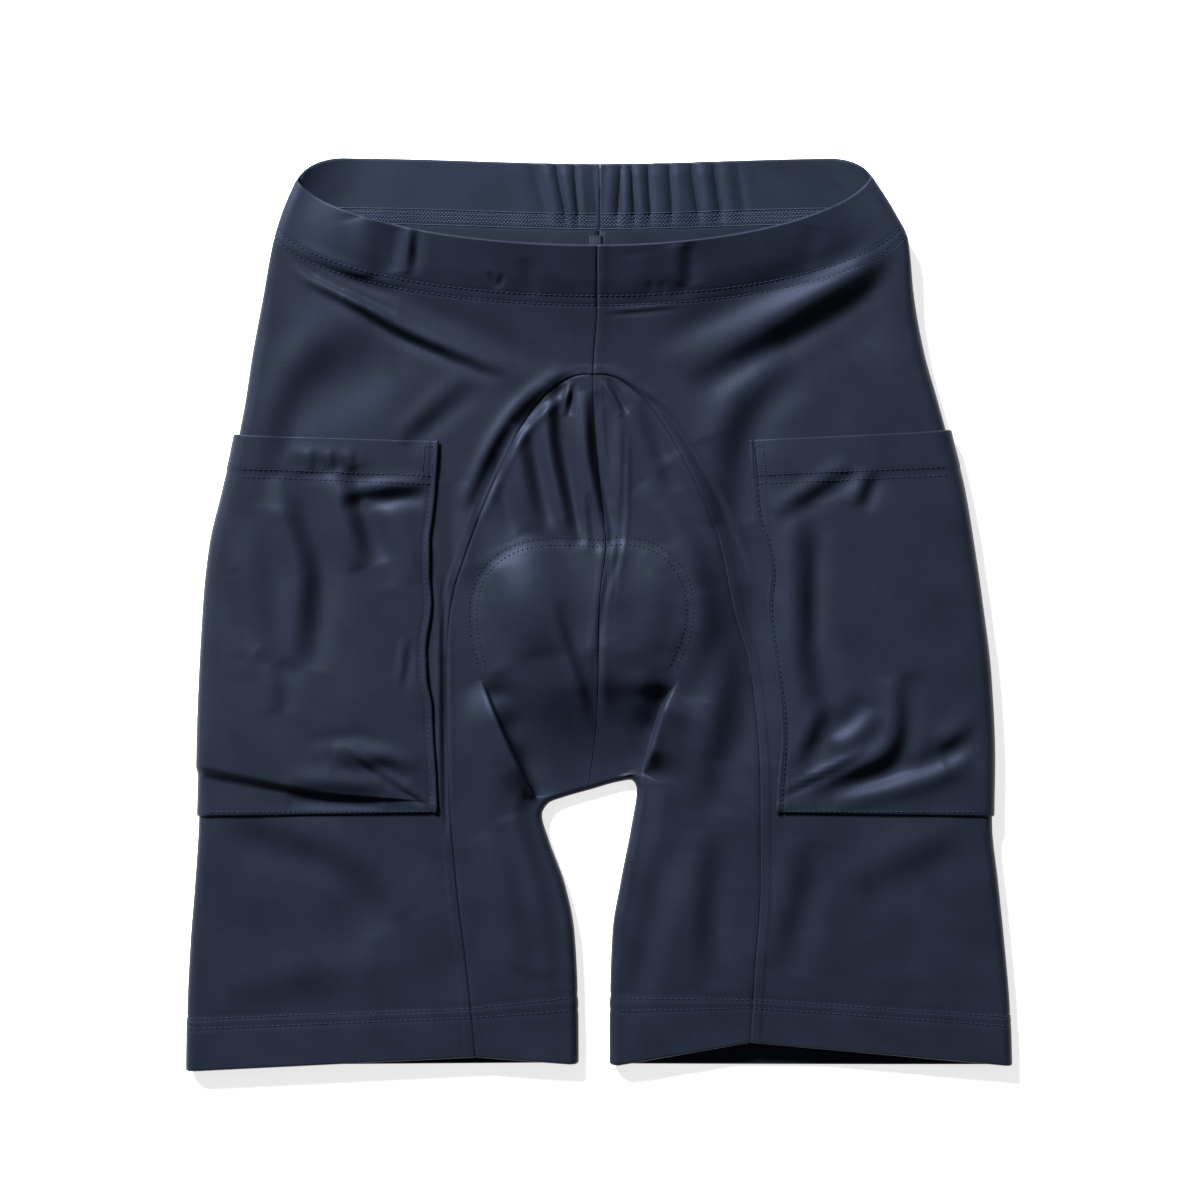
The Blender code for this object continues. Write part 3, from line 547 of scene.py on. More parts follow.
# %% [markdown]
# ## The pad under the front, and the web between the legs
#
# The seat pad is stitched through the front in an open horseshoe. Inside the
# line of stitches the front swells; on the line it is pinched down. Below the
# pad the cloth falls away into the web between the legs, and each leg laps over
# the web with a rounded edge. That edge is steep, so the inner panel gets a
# column of points along it, and the height is worked out from the distance.

# %% Heights of pad, web and legs
PAD_LINE = (
    (-64, -30), (-67.5, -18), (-69.5, -4), (-69, 8), (-65.5, 19), (-60, 27), (-51.5, 33.5), (-40.5, 38),
    (-27, 40), (-10.5, 39.7), (0.5, 38.5), (14.5, 41), (28, 38), (39, 31), (46, 21.5), (50, 8),
    (49.5, -6), (46, -17), (40.5, -29),
)
PAD_FOOT = ((30, -62), (14, -94), (-22, -102), (-50, -62))
PAD_SWELL, PAD_DOME, PAD_PINCH, PAD_FADE_TOP, PAD_FADE_FOOT = 0.8, 6.5, 0.3, -8.0, -92.0
WEB_EDGE = {
    "right": ((-64.5, -36.0), (-59.7, -47.0), (-49.0, -72.6), (-35.0, -101.0)),
    "left": ((43.0, -38.0), (35.0, -48.0), (29.5, -68.0), (24.0, -88.0)),
}
WEB_FOLD, WEB_REACH = 6.4, 61.0
WEB_HOLLOWS = (
    (-58.0, -43.0, 3.2, 9.0), (-50.0, -62.0, 2.6, 9.0), (-42.0, -82.0, 1.6, 9.0),
    (34.0, -46.0, 2.4, 8.0), (28.0, -62.0, 2.6, 9.0), (24.0, -78.0, 1.4, 9.0),
)
WEB_TOP_LEVEL, WEB_FOOT_LEVEL = 1.8176, 2.13
WEB_FOOT_LINE = ((-31.5, -106.0), (-5.0, -97.0), (20.5, -91.0))
LEG_ROLL, LEG_ROLL_FOOT, LEG_ROLL_TOP, LEG_EDGE_RADIUS = 7.0, -126.0, -74.0, 4.0
WEB_SHARE_Y, WEB_SHARE_DEPTH = -30.0, 16.0
CROTCH_BOW, BOW_BELOW, BOW_ABOVE = 17.0, 0.2, 0.35
SEAM_GROOVE, SEAM_WIDTH, ALLOWANCE, ALLOWANCE_WIDTH = 0.28, 0.5, 0.3, 6.0
PAD_PINCH_WIDTH, WEB_CURVE, WEB_EDGE_WIDTH, LEG_ROLL_WIDTH, LEG_EDGE_DROP = 2.4, 1.35, 1.4, 15.0, 0.6


def inside_pad(x, y):
    """Distance inside the pad's stitched line, negative outside it."""
    d, _, turn = near_line(x, y, PAD_LINE + PAD_FOOT + (PAD_LINE[0],))
    return -d * turn


def pad_height(x, y):
    depth = inside_pad(x, y)
    dome = PAD_SWELL * ramp(depth, -3.0, 6.0) + PAD_DOME * ramp(depth, -18.0, 36.0)
    line, _, _ = near_line(x, y, PAD_LINE)
    fade = ramp(y, PAD_FADE_FOOT, PAD_FADE_TOP)
    return dome * fade - PAD_PINCH * bell(line, PAD_PINCH_WIDTH)


def web_height(x, y, top):
    """The web rises from the fold at the crotch to the front at the pad's foot."""
    away, _, _ = near_line(x, y, WEB_FOOT_LINE)
    rise = ease((away - WEB_FOLD / 2) / WEB_REACH) ** WEB_CURVE
    z = mix(WEB_FOLD, top, rise)
    for tip_x, tip_y, depth, width in WEB_HOLLOWS:
        z -= depth * bell(np.hypot(x - tip_x, y - tip_y), width)
    return z


def web_share(x, y):
    """1 in the web between the legs and 0 on the legs, with a steep edge."""
    inside = 1.0
    for side in SIDES:
        line = curved(WEB_EDGE[side], 4)
        d, _, turn = near_line(x, y, line)
        signed = -d * turn * OUTWARD[side]
        inside = inside * ease(signed / WEB_EDGE_WIDTH + 0.5)
    return inside * ease((WEB_SHARE_Y - y) / WEB_SHARE_DEPTH)


def leg_roll(x, y):
    """The legs swell beside the web, and their edge is rounded over."""
    z = np.zeros(np.shape(x))
    for side in SIDES:
        d, share, _ = near_line(x, y, curved(WEB_EDGE[side], 4))
        depth = ramp(share, 0, 1 / 3) * ramp(share, 1, 0.7) * ramp(y, LEG_ROLL_FOOT, LEG_ROLL_TOP)
        edge = np.clip(1 - d / LEG_EDGE_RADIUS, 0, 1)
        drop = LEG_EDGE_RADIUS * (1 - np.sqrt(1 - edge**2))
        z += depth * (LEG_ROLL * bell(d, LEG_ROLL_WIDTH) - LEG_EDGE_DROP * drop)
    return z


def seam_lines():
    """The sewn lines of the front as points: both front seams and the centre."""
    lines = []
    for side in SIDES:
        levels = np.concatenate([np.linspace(1.0, 1.06, 8), np.linspace(1.09, 3.0, 40)])
        x, y = bare_seam(side, levels)
        lines.append(list(zip(x, y)))
    levels = np.concatenate([np.linspace(-1, 1, 12), np.linspace(1.05, 1.88, 22)])
    lines.append(list(zip(*centre_front("right", levels))))
    return lines


SEAM_LINES = seam_lines()


def seam_relief(x, y):
    """A fine groove on each seam, and the seam allowance that lies beside it."""
    z = np.zeros(np.shape(x))
    for line, out in zip(SEAM_LINES, (-1.0, 1.0, 1.0)):
        d, share, turn = near_line(x, y, line)
        fade = ramp(share, 1, 0.94) if line is SEAM_LINES[2] else 1.0
        ridge = ramp(d, ALLOWANCE_WIDTH, ALLOWANCE_WIDTH - 1.6) * ramp(d, 0, 1) * (turn * out > 0)
        z += fade * (ALLOWANCE * ridge - SEAM_GROOVE * bell(d, SEAM_WIDTH))
    return z


def front_height(level, x, y, across):
    """Height of the front of the garment, away from the folds at its sides."""
    z = loft(level) + crown(level) * np.sqrt(np.clip(1 - across**2, 0, 1))
    z = z + stroke_heights(x, y, FRONT_SHADES, FRONT_SWELLS) + seam_relief(x, y)
    z = z + pad_height(x, y) * ramp(y, 95, 91)
    low = (y < -24) & (np.abs(x) < 75)
    share = np.where(low, web_share(x, y), 0.0)
    return mix(z + leg_roll(x, y), web_height(x, y, z), share)


print("top of the pad:", round(float(front_height(1.7, np.array(-10.0), np.array(-4.0), 0.0)), 1), "mm")


# %% [markdown]
# ## The outer face of each sheet
#
# The side panel starts at the front seam, runs across the thigh, turns under at
# the side fold and ends at the back seam. The waistband follows the same path
# and goes on to the centre back. The inner panel is half of the arched crotch
# panel, the inner leg and the seat, in one piece, slit where the legs part.

# %% Side panel and waistband
POCKET_LIFT, FOLD_BLEND = 1.2, 26.0


def bow_share(across):
    """A quarter of an ellipse in plan, cut just short of its upright end."""
    reach = 0.985
    most = 1 - math.sqrt(1 - reach**2)
    return (1 - np.sqrt(1 - (reach * np.clip(across, 0, 1)) ** 2)) / most


def corner_share(across):
    """The rounded corner of a back edge line, near the side fold only."""
    return bow_share(np.maximum(across - 0.84, 0.0) / 0.16)


def pocket_lift(side, level, x):
    """How far the back of a side panel is raised by the pocket under it."""
    rows = ramp(level, POCKET_TOP - 0.065, POCKET_TOP - 0.02)
    rows = rows * ramp(level, POCKET_FOOT + 0.065, POCKET_FOOT + 0.02)
    wrap = np.abs(side_point(side, level)[0]) - POCKET_WRAP
    return POCKET_LIFT * rows * ramp(np.abs(x), wrap - 8.0, wrap)


def waist_curl(level, inside):
    """The back of the waist curls up towards the side folds, inside mm from them."""
    share = 1 - np.clip(inside / SIDE_CURL_WIDTH, 0, 1)
    return SIDE_CURL * share**2 * ramp(level, 0.9, BAND_FOOT)


def back_step(level):
    """Below the waistband the back is raised, so that it meets the band's inside."""
    return np.where(level > BAND_FOOT, BACK_STEP * ramp(level, 0.7, BAND_FOOT), 0.0)


def pocket_hollow(share, station):
    """0 to 1: the panel sinks a little under a pocket, which gives it depth."""
    rows = ramp(share, 0, 0.15) * ramp(share, 1, 0.85)
    return rows * ramp(station, 1, 1.15) * ramp(station, 2, 1.85)


def side_surface(side, level, station, hollow=True):
    level, station = np.broadcast_arrays(np.asarray(level, float), np.asarray(station, float))
    out = OUTWARD[side]
    seam_x, seam_y = front_seam(side, level, PANEL_GAP)
    fold_px, fold_py = side_point(side, level)
    back_px, back_py = back_seam(side, level, np.where(level > BAND_FOOT, PANEL_GAP, 0.0))
    step = back_step(level)
    raised = pocket_lift(side, level, fold_px) + waist_curl(level, 0.0) + step
    radius = (loft(level) - raised) / 2
    turn = fold_px - out * radius

    above, below = mix(seam_x, turn, ABOVE_POCKET), mix(seam_x, turn, BELOW_POCKET)
    on_leg = ramp(level, PEAK, POCKET_TOP)
    edge = mix(above, pocket_edge[side](seam_y), on_leg)
    edge = mix(edge, below, ramp(level, POCKET_FOOT, HEM))
    x_front = np.where(station < 1, mix(seam_x, edge, station), mix(edge, turn, station - 1))

    angle = math.pi * np.clip(station - 2, 0, 1)
    x_fold = turn + out * radius * np.sin(angle)

    wrap = mix(mix(turn, back_px, 0.5), fold_px - out * POCKET_WRAP, on_leg)
    x_back = np.where(station <= 4, mix(turn, wrap, station - 3), mix(wrap, back_px, station - 4))
    to_centre = mix(back_px, centre_back(side, level)[0], station - 5)
    x_back = np.where(station <= 5, x_back, to_centre)

    x = np.where(station <= 2, x_front, np.where(station < 3, x_fold, x_back))
    across = np.clip((x - seam_x) / (fold_px - seam_x), 0, 1)
    y_front = mix(seam_y, fold_py, mix(across, bow_share(across), roundness(level)))
    y_back = mix(back_py, fold_py, corner_share(np.abs(x / fold_px)))
    y_back = y_back - back_dip(level, x) * ramp(station, 2.5, 3)
    y = np.where(station < 2.5, y_front, y_back)

    flat = ease((np.abs(turn) - np.abs(x)) / FOLD_BLEND)
    z_front = mix(raised + 2 * radius, front_height(level, x, y, across), flat)
    if hollow:
        share = (level - POCKET_TOP) / (POCKET_FOOT - POCKET_TOP)
        z_front = z_front - POCKET_ROOM * pocket_hollow(share, station)
    z_fold = raised + radius * (1 + np.cos(angle))
    z_back = pocket_lift(side, level, x) + waist_curl(level, np.abs(turn) - np.abs(x)) + step
    z = np.where(station <= 2, z_front, np.where(station < 3, z_fold, z_back))
    return np.stack([x, y, z], -1)


print("side fold of the right leg:", side_surface("right", 2.0, 2.5).round(1), "mm")


# %% Inner panel
def crotch_bow(side, level, share):
    """Back rows of the left leg bow up beside the crotch, whose foot rises."""
    if side == "right":
        return 0.0
    near = 1 - np.where(level > CROTCH, (level - CROTCH) / BOW_BELOW, (CROTCH - level) / BOW_ABOVE)
    return CROTCH_BOW * np.maximum(near, 0.0) * np.sin(math.pi * np.clip(share, 0, 1)) ** 0.6


def web_edge_point(side, level, seam, end):
    """The point of a row on the leg's edge over the web, or its likely middle."""
    tip, foot = WEB_EDGE[side][0], WEB_EDGE[side][-1]
    line = np.array(curved(WEB_EDGE[side], 4))
    t = np.clip((level - WEB_TOP_LEVEL) / (WEB_FOOT_LEVEL - WEB_TOP_LEVEL), 0, 1)
    y = mix(tip[1], foot[1], t)
    on_edge = np.stack([np.interp(-y, -line[:, 1], line[:, 0]), y])
    tip_share = np.clip((tip[0] - seam[0]) / (end[0] - seam[0]), 0.1, 0.9)
    above = mix(0.5, tip_share, ramp(level, 1.3, WEB_TOP_LEVEL))
    below = mix(0.96, 0.8, ramp(level, 2.22, 2.62))
    down = ramp(level, WEB_FOOT_LEVEL, WEB_FOOT_LEVEL + 0.09)
    under = mix(on_edge, mix(seam, end, below), down)
    return np.where(level < WEB_TOP_LEVEL, mix(seam, end, above), under)


def fold_path():
    """The turn of the inner folds, from the left hem up to the crotch and down."""
    levels = np.array([2.0, 2.04, 2.08, 2.12, 2.15, 2.18, 2.22, 2.28, 2.36, 2.5, 2.66, 2.82, 3.0])
    left, _ = fold_frame("left", levels)
    right, _ = fold_frame("right", levels)
    return list(zip(*left))[::-1] + list(zip(*right))


FOLD_PATH = fold_path()
FOLD_REACH = 12.0
# The level from which the rows of the panel lead to the inner fold.
LEAD_START = 1.9


def inner_surface(side, level, station):
    level, station = np.broadcast_arrays(np.asarray(level, float), np.asarray(station, float))
    seam = front_seam(side, level, -PANEL_GAP)
    back = back_seam(side, level, -PANEL_GAP)
    radius = fold_radius(np.maximum(level, CROTCH))
    turn, face = fold_frame(side, np.maximum(level, CROTCH))
    lead = ramp(level, LEAD_START, CROTCH)
    end = mix(centre_front(side, level), turn, lead)

    edge = web_edge_point(side, level, seam, end)
    first, second = np.clip(station * 2, 0, 1), np.clip(station * 2 - 1, 0, 1)
    front = np.where(station < 0.5, mix(seam, edge, first), mix(edge, end, second))
    z_front = front_height(level, front[0], front[1], 0.0)
    to_fold, _, _ = near_line(front[0], front[1], FOLD_PATH)
    z_front = mix(2 * radius, z_front, ease(to_fold / FOLD_REACH))

    angle = math.pi * np.clip(station - 1, 0, 1)
    fold = turn + face * radius * np.sin(angle)
    z_fold = radius * (1 + np.cos(angle))

    start = mix(centre_back(side, level), turn, lead)
    rear = mix(start, back, np.clip(station - 2, 0, 1))
    rear[1] += crotch_bow(side, level, station - 2)
    rear[1] -= back_dip(level, rear[0])

    at_front, at_fold = station <= 1, station < 2
    x, y = np.where(at_front, front, np.where(at_fold, fold, rear))
    z = np.where(at_front, z_front, np.where(at_fold, z_fold, back_step(level)))
    return np.stack([x, y, z], -1)


print("inner fold of the left leg:", inner_surface("left", 2.5, 1.5).round(1), "mm")

# %% [markdown]
# ## The pockets
#
# A pocket is the side panel's own surface, moved out, plus its own creases. The
# rows follow the fold that sags over its stitched foot, so that fold stays
# crisp: above it the cloth bellies out, below it a strip lies flat.

# %% Pocket surface
POCKET_SHADES = {
    "right": (
        (-3.1, 7.0, ((-172, 76), (-166, 48), (-157, 24), (-160, -2), (-162, -30))),
        (-1.2, 10.0, ((-186, 52), (-182, 12), (-182, -36))),
        (-3.2, 6.0, ((-140, 80), (-136, 62), (-131, 44), (-126, 26))),
        (-2.2, 4.0, ((-142, 62), (-118, 68), (-92, 68))),
        (-0.8, 5.0, ((-172, 84), (-150, 83), (-128, 82))),
        (1.2, 7.0, ((-120, 58), (-112, 40), (-108, 16))),
        (-1.4, 5.5, ((-209, 16), (-202, -4), (-193, -22))),
        (-0.6, 2.0, ((-216, 20), (-206, 24), (-196, 24))),
        (-0.9, 5.0, ((-178, -26), (-175, -40), (-174, -54))),
        (-0.8, 2.0, ((-105, -14), (-106, -26), (-108, -40))),
        (0.6, 3.4, ((-160, -74), (-140, -69), (-124, -71), (-104, -80))),
        (-1.0, 1.6, ((-138, -75), (-120, -88), (-106, -97), (-90, -107))),
        (-1.6, 4.5, ((-146, -80), (-130, -83), (-114, -80), (-102, -88))),
        (-1.6, 5.5, ((-172, -96), (-146, -95), (-118, -98))),
        (-0.5, 2.0, ((-157, 90), (-157, 84), (-156, 78))),
        (-0.5, 2.0, ((-146, 90), (-146, 84), (-145, 78))),
        (-0.4, 2.0, ((-135, 90), (-135, 84), (-134, 78))),
    ),
    "left": (
        (-1.5, 4.4, ((140, 80), (122, 69), (110, 61), (96, 53))),
        (-1.6, 4.0, ((150, 78), (147, 70), (142, 58))),
        (-2.8, 7.5, ((112, 60), (113.5, 22), (113, -10), (115, -34), (124, -70))),
        (0.8, 4.0, ((122, 44), (123, 16), (122, -20))),
        (-1.4, 5.0, ((126, -50), (118, -66), (110, -84))),
        (-2.4, 5.5, ((164, -34), (168, -62), (160, -80), (142, -88), (116, -97))),
        (1.6, 5.0, ((128, -70), (140, -64), (150, -50))),
        (-1.0, 1.8, ((98, -100), (125, -87.5), (146, -76))),
        (-2.0, 5.5, ((222, -55), (206, -66), (186, -76))),
        (1.8, 5.0, ((224, -62), (194, -82), (162, -92), (128, -99))),
    ),
}
POCKET_BELLY, POCKET_MOUTH, POCKET_SAG, POCKET_FLARE = 1.2, 0.8, 3.8, 2.0
SAG_LEVEL_SEAM, SAG_LEVEL_SIDE, SAG_SHARE = 2.04, 1.955, 0.87
POCKET_HEM, POCKET_HEM_PROUD, POCKET_LIP, POCKET_WAVE = 0.115, 0.35, 0.5, 0.6


def outward(points, side):
    """Unit normals that point out of the garment, for a grid that runs from its seam."""
    down, along = np.gradient(points, axis=0), np.gradient(points, axis=1)
    return unit(np.cross(down, along)) * OUTWARD[side]


def pocket_level(share, station):
    across = np.clip(station - 1, 0, 1)
    sag = mix(SAG_LEVEL_SEAM, SAG_LEVEL_SIDE, across)
    high = mix(POCKET_TOP, sag, share / SAG_SHARE)
    low = mix(sag, POCKET_FOOT, (share - SAG_SHARE) / (1 - SAG_SHARE))
    return np.where(share <= SAG_SHARE, high, low)


def pocket_surface(side, share, station):
    """Grid points of the pocket's outer face. Share and station are a grid."""
    level = pocket_level(share, station)
    base = side_surface(side, level, station, hollow=False)
    normal = outward(base, side)
    across = np.clip(station - 1, 0, 1)
    inside = np.where(station < 2, np.sin(math.pi * across) ** 0.7, 0.0)
    height = np.sin(math.pi * np.clip(share, 0, 1)) ** 0.6
    out = POCKET_BELLY * inside * height + POCKET_MOUTH * inside * (1 - share) ** 5
    round_fold = np.sin(math.pi * np.clip((station - 1.4) / 1.5, 0, 1))
    out = out + POCKET_FLARE * round_fold * (1 - share) ** 2
    if side == "right":
        belly = ramp(share, 0, 0.8) * ramp(share, SAG_SHARE + 0.022, SAG_SHARE)
        round_side = ramp(across, 0, 0.45) * ramp(station, 2.6, 2.1)
        out = out + POCKET_SAG * belly * round_side * ramp(share, 0.45, 0.85)
    edge = ramp(across, 0, 0.1) * ramp(across, 1, 0.8) * ramp(share, 0, 0.06) * ramp(share, 1, 0.95)
    folds = stroke_heights(base[..., 0], base[..., 1], POCKET_SHADES[side])
    hem = POCKET_HEM_PROUD * ramp(share, POCKET_HEM, POCKET_HEM - 0.01)
    wave = POCKET_WAVE * np.sin(share * 21 + 1) * ramp(across, 0.18, 0) * ramp(share, 0, 0.1)
    lip = ramp(across, 0.03, 0.018) - bell(across - 0.03, 0.007)
    hem = hem + POCKET_LIP * lip * (station < 2)
    sunk = np.where(station < 2, folds * edge, 0)
    lowest = -out - POCKET_ROOM * pocket_hollow(share, station)
    out = out + soft_floor(sunk, lowest) + hem + np.maximum(wave, 0)
    return base + normal * (CLOTH + LAYER_GAP + out)[..., None]


print("pocket creases:", sum(len(rows) for rows in POCKET_SHADES.values()))


# %% [markdown]
# ## Materials
#
# The cloth is a fine-gauge jersey, such as a light wool blend with stretch yarn.
# Its face is smooth, with thin upright wales. The eye sees a deep navy that
# turns lighter where a fold faces the lamp, from the sheen of many tiny loops.
# Real wales are about 0.5 mm apart, too fine to show at this distance, so they
# are drawn 0.9 mm apart. The pattern follows the cloth, because each sheet has
# a UV map in millimetres.

# %% Material helpers
def linear(hex_colour):
    """An sRGB hex colour such as 2A3347 as linear red, green, blue and alpha."""
    parts = [int(hex_colour[i : i + 2], 16) / 255 for i in (0, 2, 4)]
    return tuple(c / 12.92 if c <= 0.04045 else ((c + 0.055) / 1.055) ** 2.4 for c in parts) + (1.0,)


def add_node(tree, kind, settings=None, **links):
    """A node with its settings. A link is a socket, and a plain value is set."""
    node = tree.nodes.new(kind)
    for name, value in (settings or {}).items():
        setattr(node, name, value)
    for name, value in links.items():
        socket = node.inputs[int(name[1:])] if name[1:].isdigit() else node.inputs[name.replace("_", " ")]
        if isinstance(value, bpy.types.NodeSocket):
            tree.links.new(value, socket)
        else:
            socket.default_value = value
    return node


WALE_MM = 0.9


def knit_material(name, dark, light, roughness, wale_mm, bump):
    """Jersey: colour that wanders a little, fine wales and loops, soft sheen."""
    material = bpy.data.materials.new(name)
    material.use_nodes = True
    tree = material.node_tree
    shader = tree.nodes["Principled BSDF"]
    uv = add_node(tree, "ShaderNodeUVMap", {"uv_map": "cloth_mm"}).outputs[0]
    drift = add_node(tree, "ShaderNodeTexNoise", Vector=uv, Scale=0.035, Detail=3.0)
    fibre = add_node(tree, "ShaderNodeTexNoise", Vector=uv, Scale=1.3, Detail=2.0)
    blend = add_node(tree, "ShaderNodeMath", {"operation": "MULTIPLY_ADD"}, i0=fibre.outputs[0], i1=0.55)
    tree.links.new(drift.outputs[0], blend.inputs[2])
    ramp = add_node(tree, "ShaderNodeValToRGB", Fac=blend.outputs[0])
    ramp.color_ramp.elements[0].position = 0.45
    ramp.color_ramp.elements[0].color = linear(dark)
    ramp.color_ramp.elements[1].position = 1.1
    ramp.color_ramp.elements[1].color = linear(light)
    tree.links.new(ramp.outputs[0], shader.inputs["Base Color"])
    # A wave node repeats each 0.314 units at scale 1, so this gives one per wale.
    wave_scale = 2 * math.pi / 20 / wale_mm
    wale = add_node(tree, "ShaderNodeTexWave", {"bands_direction": "X"}, Vector=uv, Scale=wave_scale)
    wale.inputs["Distortion"].default_value = 0.6
    course = add_node(tree, "ShaderNodeTexWave", {"bands_direction": "Y"}, Vector=uv, Scale=wave_scale * 1.3)
    loops = add_node(tree, "ShaderNodeMath", {"operation": "MULTIPLY_ADD"}, i0=course.outputs[1], i1=0.4)
    tree.links.new(wale.outputs[1], loops.inputs[2])
    height = add_node(tree, "ShaderNodeMath", {"operation": "MULTIPLY_ADD"}, i0=fibre.outputs[0], i1=0.8)
    tree.links.new(loops.outputs[0], height.inputs[2])
    relief = add_node(tree, "ShaderNodeBump", Height=height.outputs[0], Strength=bump, Distance=0.00012)
    tree.links.new(relief.outputs[0], shader.inputs["Normal"])
    looks = {
        "Roughness": roughness,
        "Specular IOR Level": 0.13,
        "Specular Tint": linear("A9B9E6"),
        "Sheen Weight": 0.03,
        "Sheen Roughness": 0.35,
        "Sheen Tint": linear("7F93BC"),
    }
    for socket, value in looks.items():
        shader.inputs[socket].default_value = value
    return material


# Name, darker and lighter colour, roughness, width of a wale in mm, and relief.
jersey = knit_material("navy_jersey_fine_knit", "0F121B", "151923", 0.5, WALE_MM, 0.25)
# The waistband's copy of the jersey is a touch lighter: painted light, which lifts the band's front where it
# faces away from the lamp.
band_jersey_painted_light = knit_material("navy_waistband_doubled_knit_painted_light", "11141E", "161B26", 0.5, WALE_MM, 0.25)
fleece = knit_material("pad_brushed_fleece", "212429", "2C2F36", 0.9, 2.2, 0.8)
thread = knit_material("navy_sewing_thread", "121620", "1B2130", 0.4, 0.5, 0.3)
loop_thread = knit_material("pale_looper_thread", "1E2535", "333D50", 0.5, 0.5, 0.3)
# The tape's black material also serves as the painted shade in the dips of the pad's zigzag needle marks.
tape = knit_material("black_twill_tape_and_painted_needle_shade", "0B0D10", "121519", 0.6, 0.8, 0.8)
print("materials:", [m.name for m in (jersey, band_jersey_painted_light, fleece, thread, tape)])


# %% [markdown]
# ## From points to cloth
#
# A sheet starts as a grid of points on the cloth's outer face. The map from
# level and station gives it in one go, which no primitive could. Then the free
# edges are rounded over, a Solidify modifier gives the sheet its wall inwards,
# and the modifier is applied. Hems and waistband are turned cloth, so a vertex
# group makes their wall thicker.

# %% Cloth maker
def add_object(name, data):
    made = bpy.data.objects.new(name, data)
    bpy.context.scene.collection.objects.link(made)
    return made


def dress_mesh(mesh, x, y, material):
    """The pattern map in millimetres, the material and smooth shading."""
    layer = mesh.uv_layers.active or mesh.uv_layers.new()
    layer.name = "cloth_mm"
    corner = np.zeros(len(mesh.loops), int)
    mesh.loops.foreach_get("vertex_index", corner)
    layer.data.foreach_set("uv", np.stack([x[corner], y[corner]], -1).astype(np.float32).ravel())
    mesh.materials.append(material)
    mesh.shade_smooth()


def arc_lengths(points, axis):
    """Running length of cloth along one direction of a grid."""
    steps = np.linalg.norm(np.diff(points, axis=axis), axis=-1)
    pad = [(0, 0), (0, 0)]
    pad[axis] = (1, 0)
    return np.pad(np.cumsum(steps, axis=axis), pad)


def round_over(points, normals, distance, radius):
    """Points near a free edge sink along their normals, as a turned edge does."""
    edge = np.clip(1 - distance / radius, 0, 1)
    return points - normals * (radius * (1 - np.sqrt(1 - edge**2)))[..., None]


def make_cloth(name, points, keep, flip, thick, material, anchor):
    """A wall of cloth from a grid of outer points in mm. Keep says which exist.

    Thick is the wall at each point. Anchor has the column from which the knit
    pattern is measured, and the way that it runs.
    """
    index = np.full(keep.shape, -1)
    index[keep] = np.arange(keep.sum())
    a, b, c, d = index[:-1, :-1], index[1:, :-1], index[1:, 1:], index[:-1, 1:]
    whole = (a >= 0) & (b >= 0) & (c >= 0) & (d >= 0)
    faces = np.stack([a[whole], b[whole], c[whole], d[whole]], -1)
    if flip:
        faces = faces[:, ::-1]
    mesh = bpy.data.meshes.new(name)
    mesh.from_pydata((points[keep] * MM).tolist(), [], faces.tolist())
    column, way = anchor
    run = arc_lengths(points, 1)
    u = (points[:, column, 0:1] + way * (run - run[:, column : column + 1]))[keep]
    dress_mesh(mesh, u, points[..., 1][keep], material)
    cloth = add_object(name, mesh)
    group = cloth.vertex_groups.new(name="wall")
    most = float(np.max(thick))
    share = np.broadcast_to(thick, keep.shape)[keep] / most
    for value in np.unique(share.round(3)):
        members = np.flatnonzero(share.round(3) == value).tolist()
        group.add(members, float(value), "REPLACE")
    wall = cloth.modifiers.new("wall", "SOLIDIFY")
    wall.thickness = most * MM
    wall.offset = -1.0
    wall.use_even_offset = False
    wall.vertex_group = group.name
    bpy.ops.object.select_all(action="DESELECT")
    bpy.context.view_layer.objects.active = cloth
    cloth.select_set(True)
    bpy.ops.object.modifier_apply(modifier=wall.name)
    rest_on_table(cloth.data)
    area = sheet_area(points, keep)
    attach(cloth, "root")
    print(name, "has", len(cloth.data.polygons), "faces and", round(area, 4), "square metres of cloth")
    return cloth, area


def rest_on_table(mesh):
    """No point of a sheet lies below the table."""
    places = np.zeros(len(mesh.vertices) * 3)
    mesh.vertices.foreach_get("co", places)
    places[2::3] = np.maximum(places[2::3], 0.0)
    mesh.vertices.foreach_set("co", places)


def sheet_area(points, keep):
    """Square metres of the kept quads, by the cross of their diagonals."""
    first = points[1:, 1:] - points[:-1, :-1]
    second = points[1:, :-1] - points[:-1, 1:]
    whole = keep[:-1, :-1] & keep[1:, :-1] & keep[1:, 1:] & keep[:-1, 1:]
    return 0.5 * MM**2 * np.linalg.norm(np.cross(first, second), axis=-1)[whole].sum()


# %% A ball in a fixed order
def model_ball(segments, rings, radius):
    """Points and faces of a ball primitive, put in an order that never changes."""
    bpy.ops.object.select_all(action="DESELECT")
    bpy.ops.mesh.primitive_uv_sphere_add(segments=segments, ring_count=rings, radius=radius)
    ball = bpy.context.active_object
    verts = np.array([tuple(v.co) for v in ball.data.vertices])
    order = np.lexsort(verts.round(5).T)
    rank = np.argsort(order)
    faces = [rank[list(p.vertices)].tolist() for p in ball.data.polygons]
    bpy.data.objects.remove(ball)
    starts = [face.index(min(face)) for face in faces]
    return verts[order], sorted(face[i:] + face[:i] for face, i in zip(faces, starts))


ball_verts, ball_faces = model_ball(96, 48, 1.0)
print("ball for the pad:", len(ball_verts), "points and", len(ball_faces), "faces")


# %% Grids of levels and stations
def spread(start, end, count, crowd_start=1.0, crowd_end=1.0):
    """Numbers from start to end, crowded towards one end or both."""
    t = np.linspace(0, 1, count + 1)
    if crowd_start > 1:
        t = t**crowd_start
    if crowd_end > 1:
        t = 1 - (1 - t) ** crowd_end
    return start + (end - start) * t


def joined(*runs):
    """Runs of numbers end to end, without the doubled ends."""
    return np.concatenate([runs[0]] + [run[1:] for run in runs[1:]])


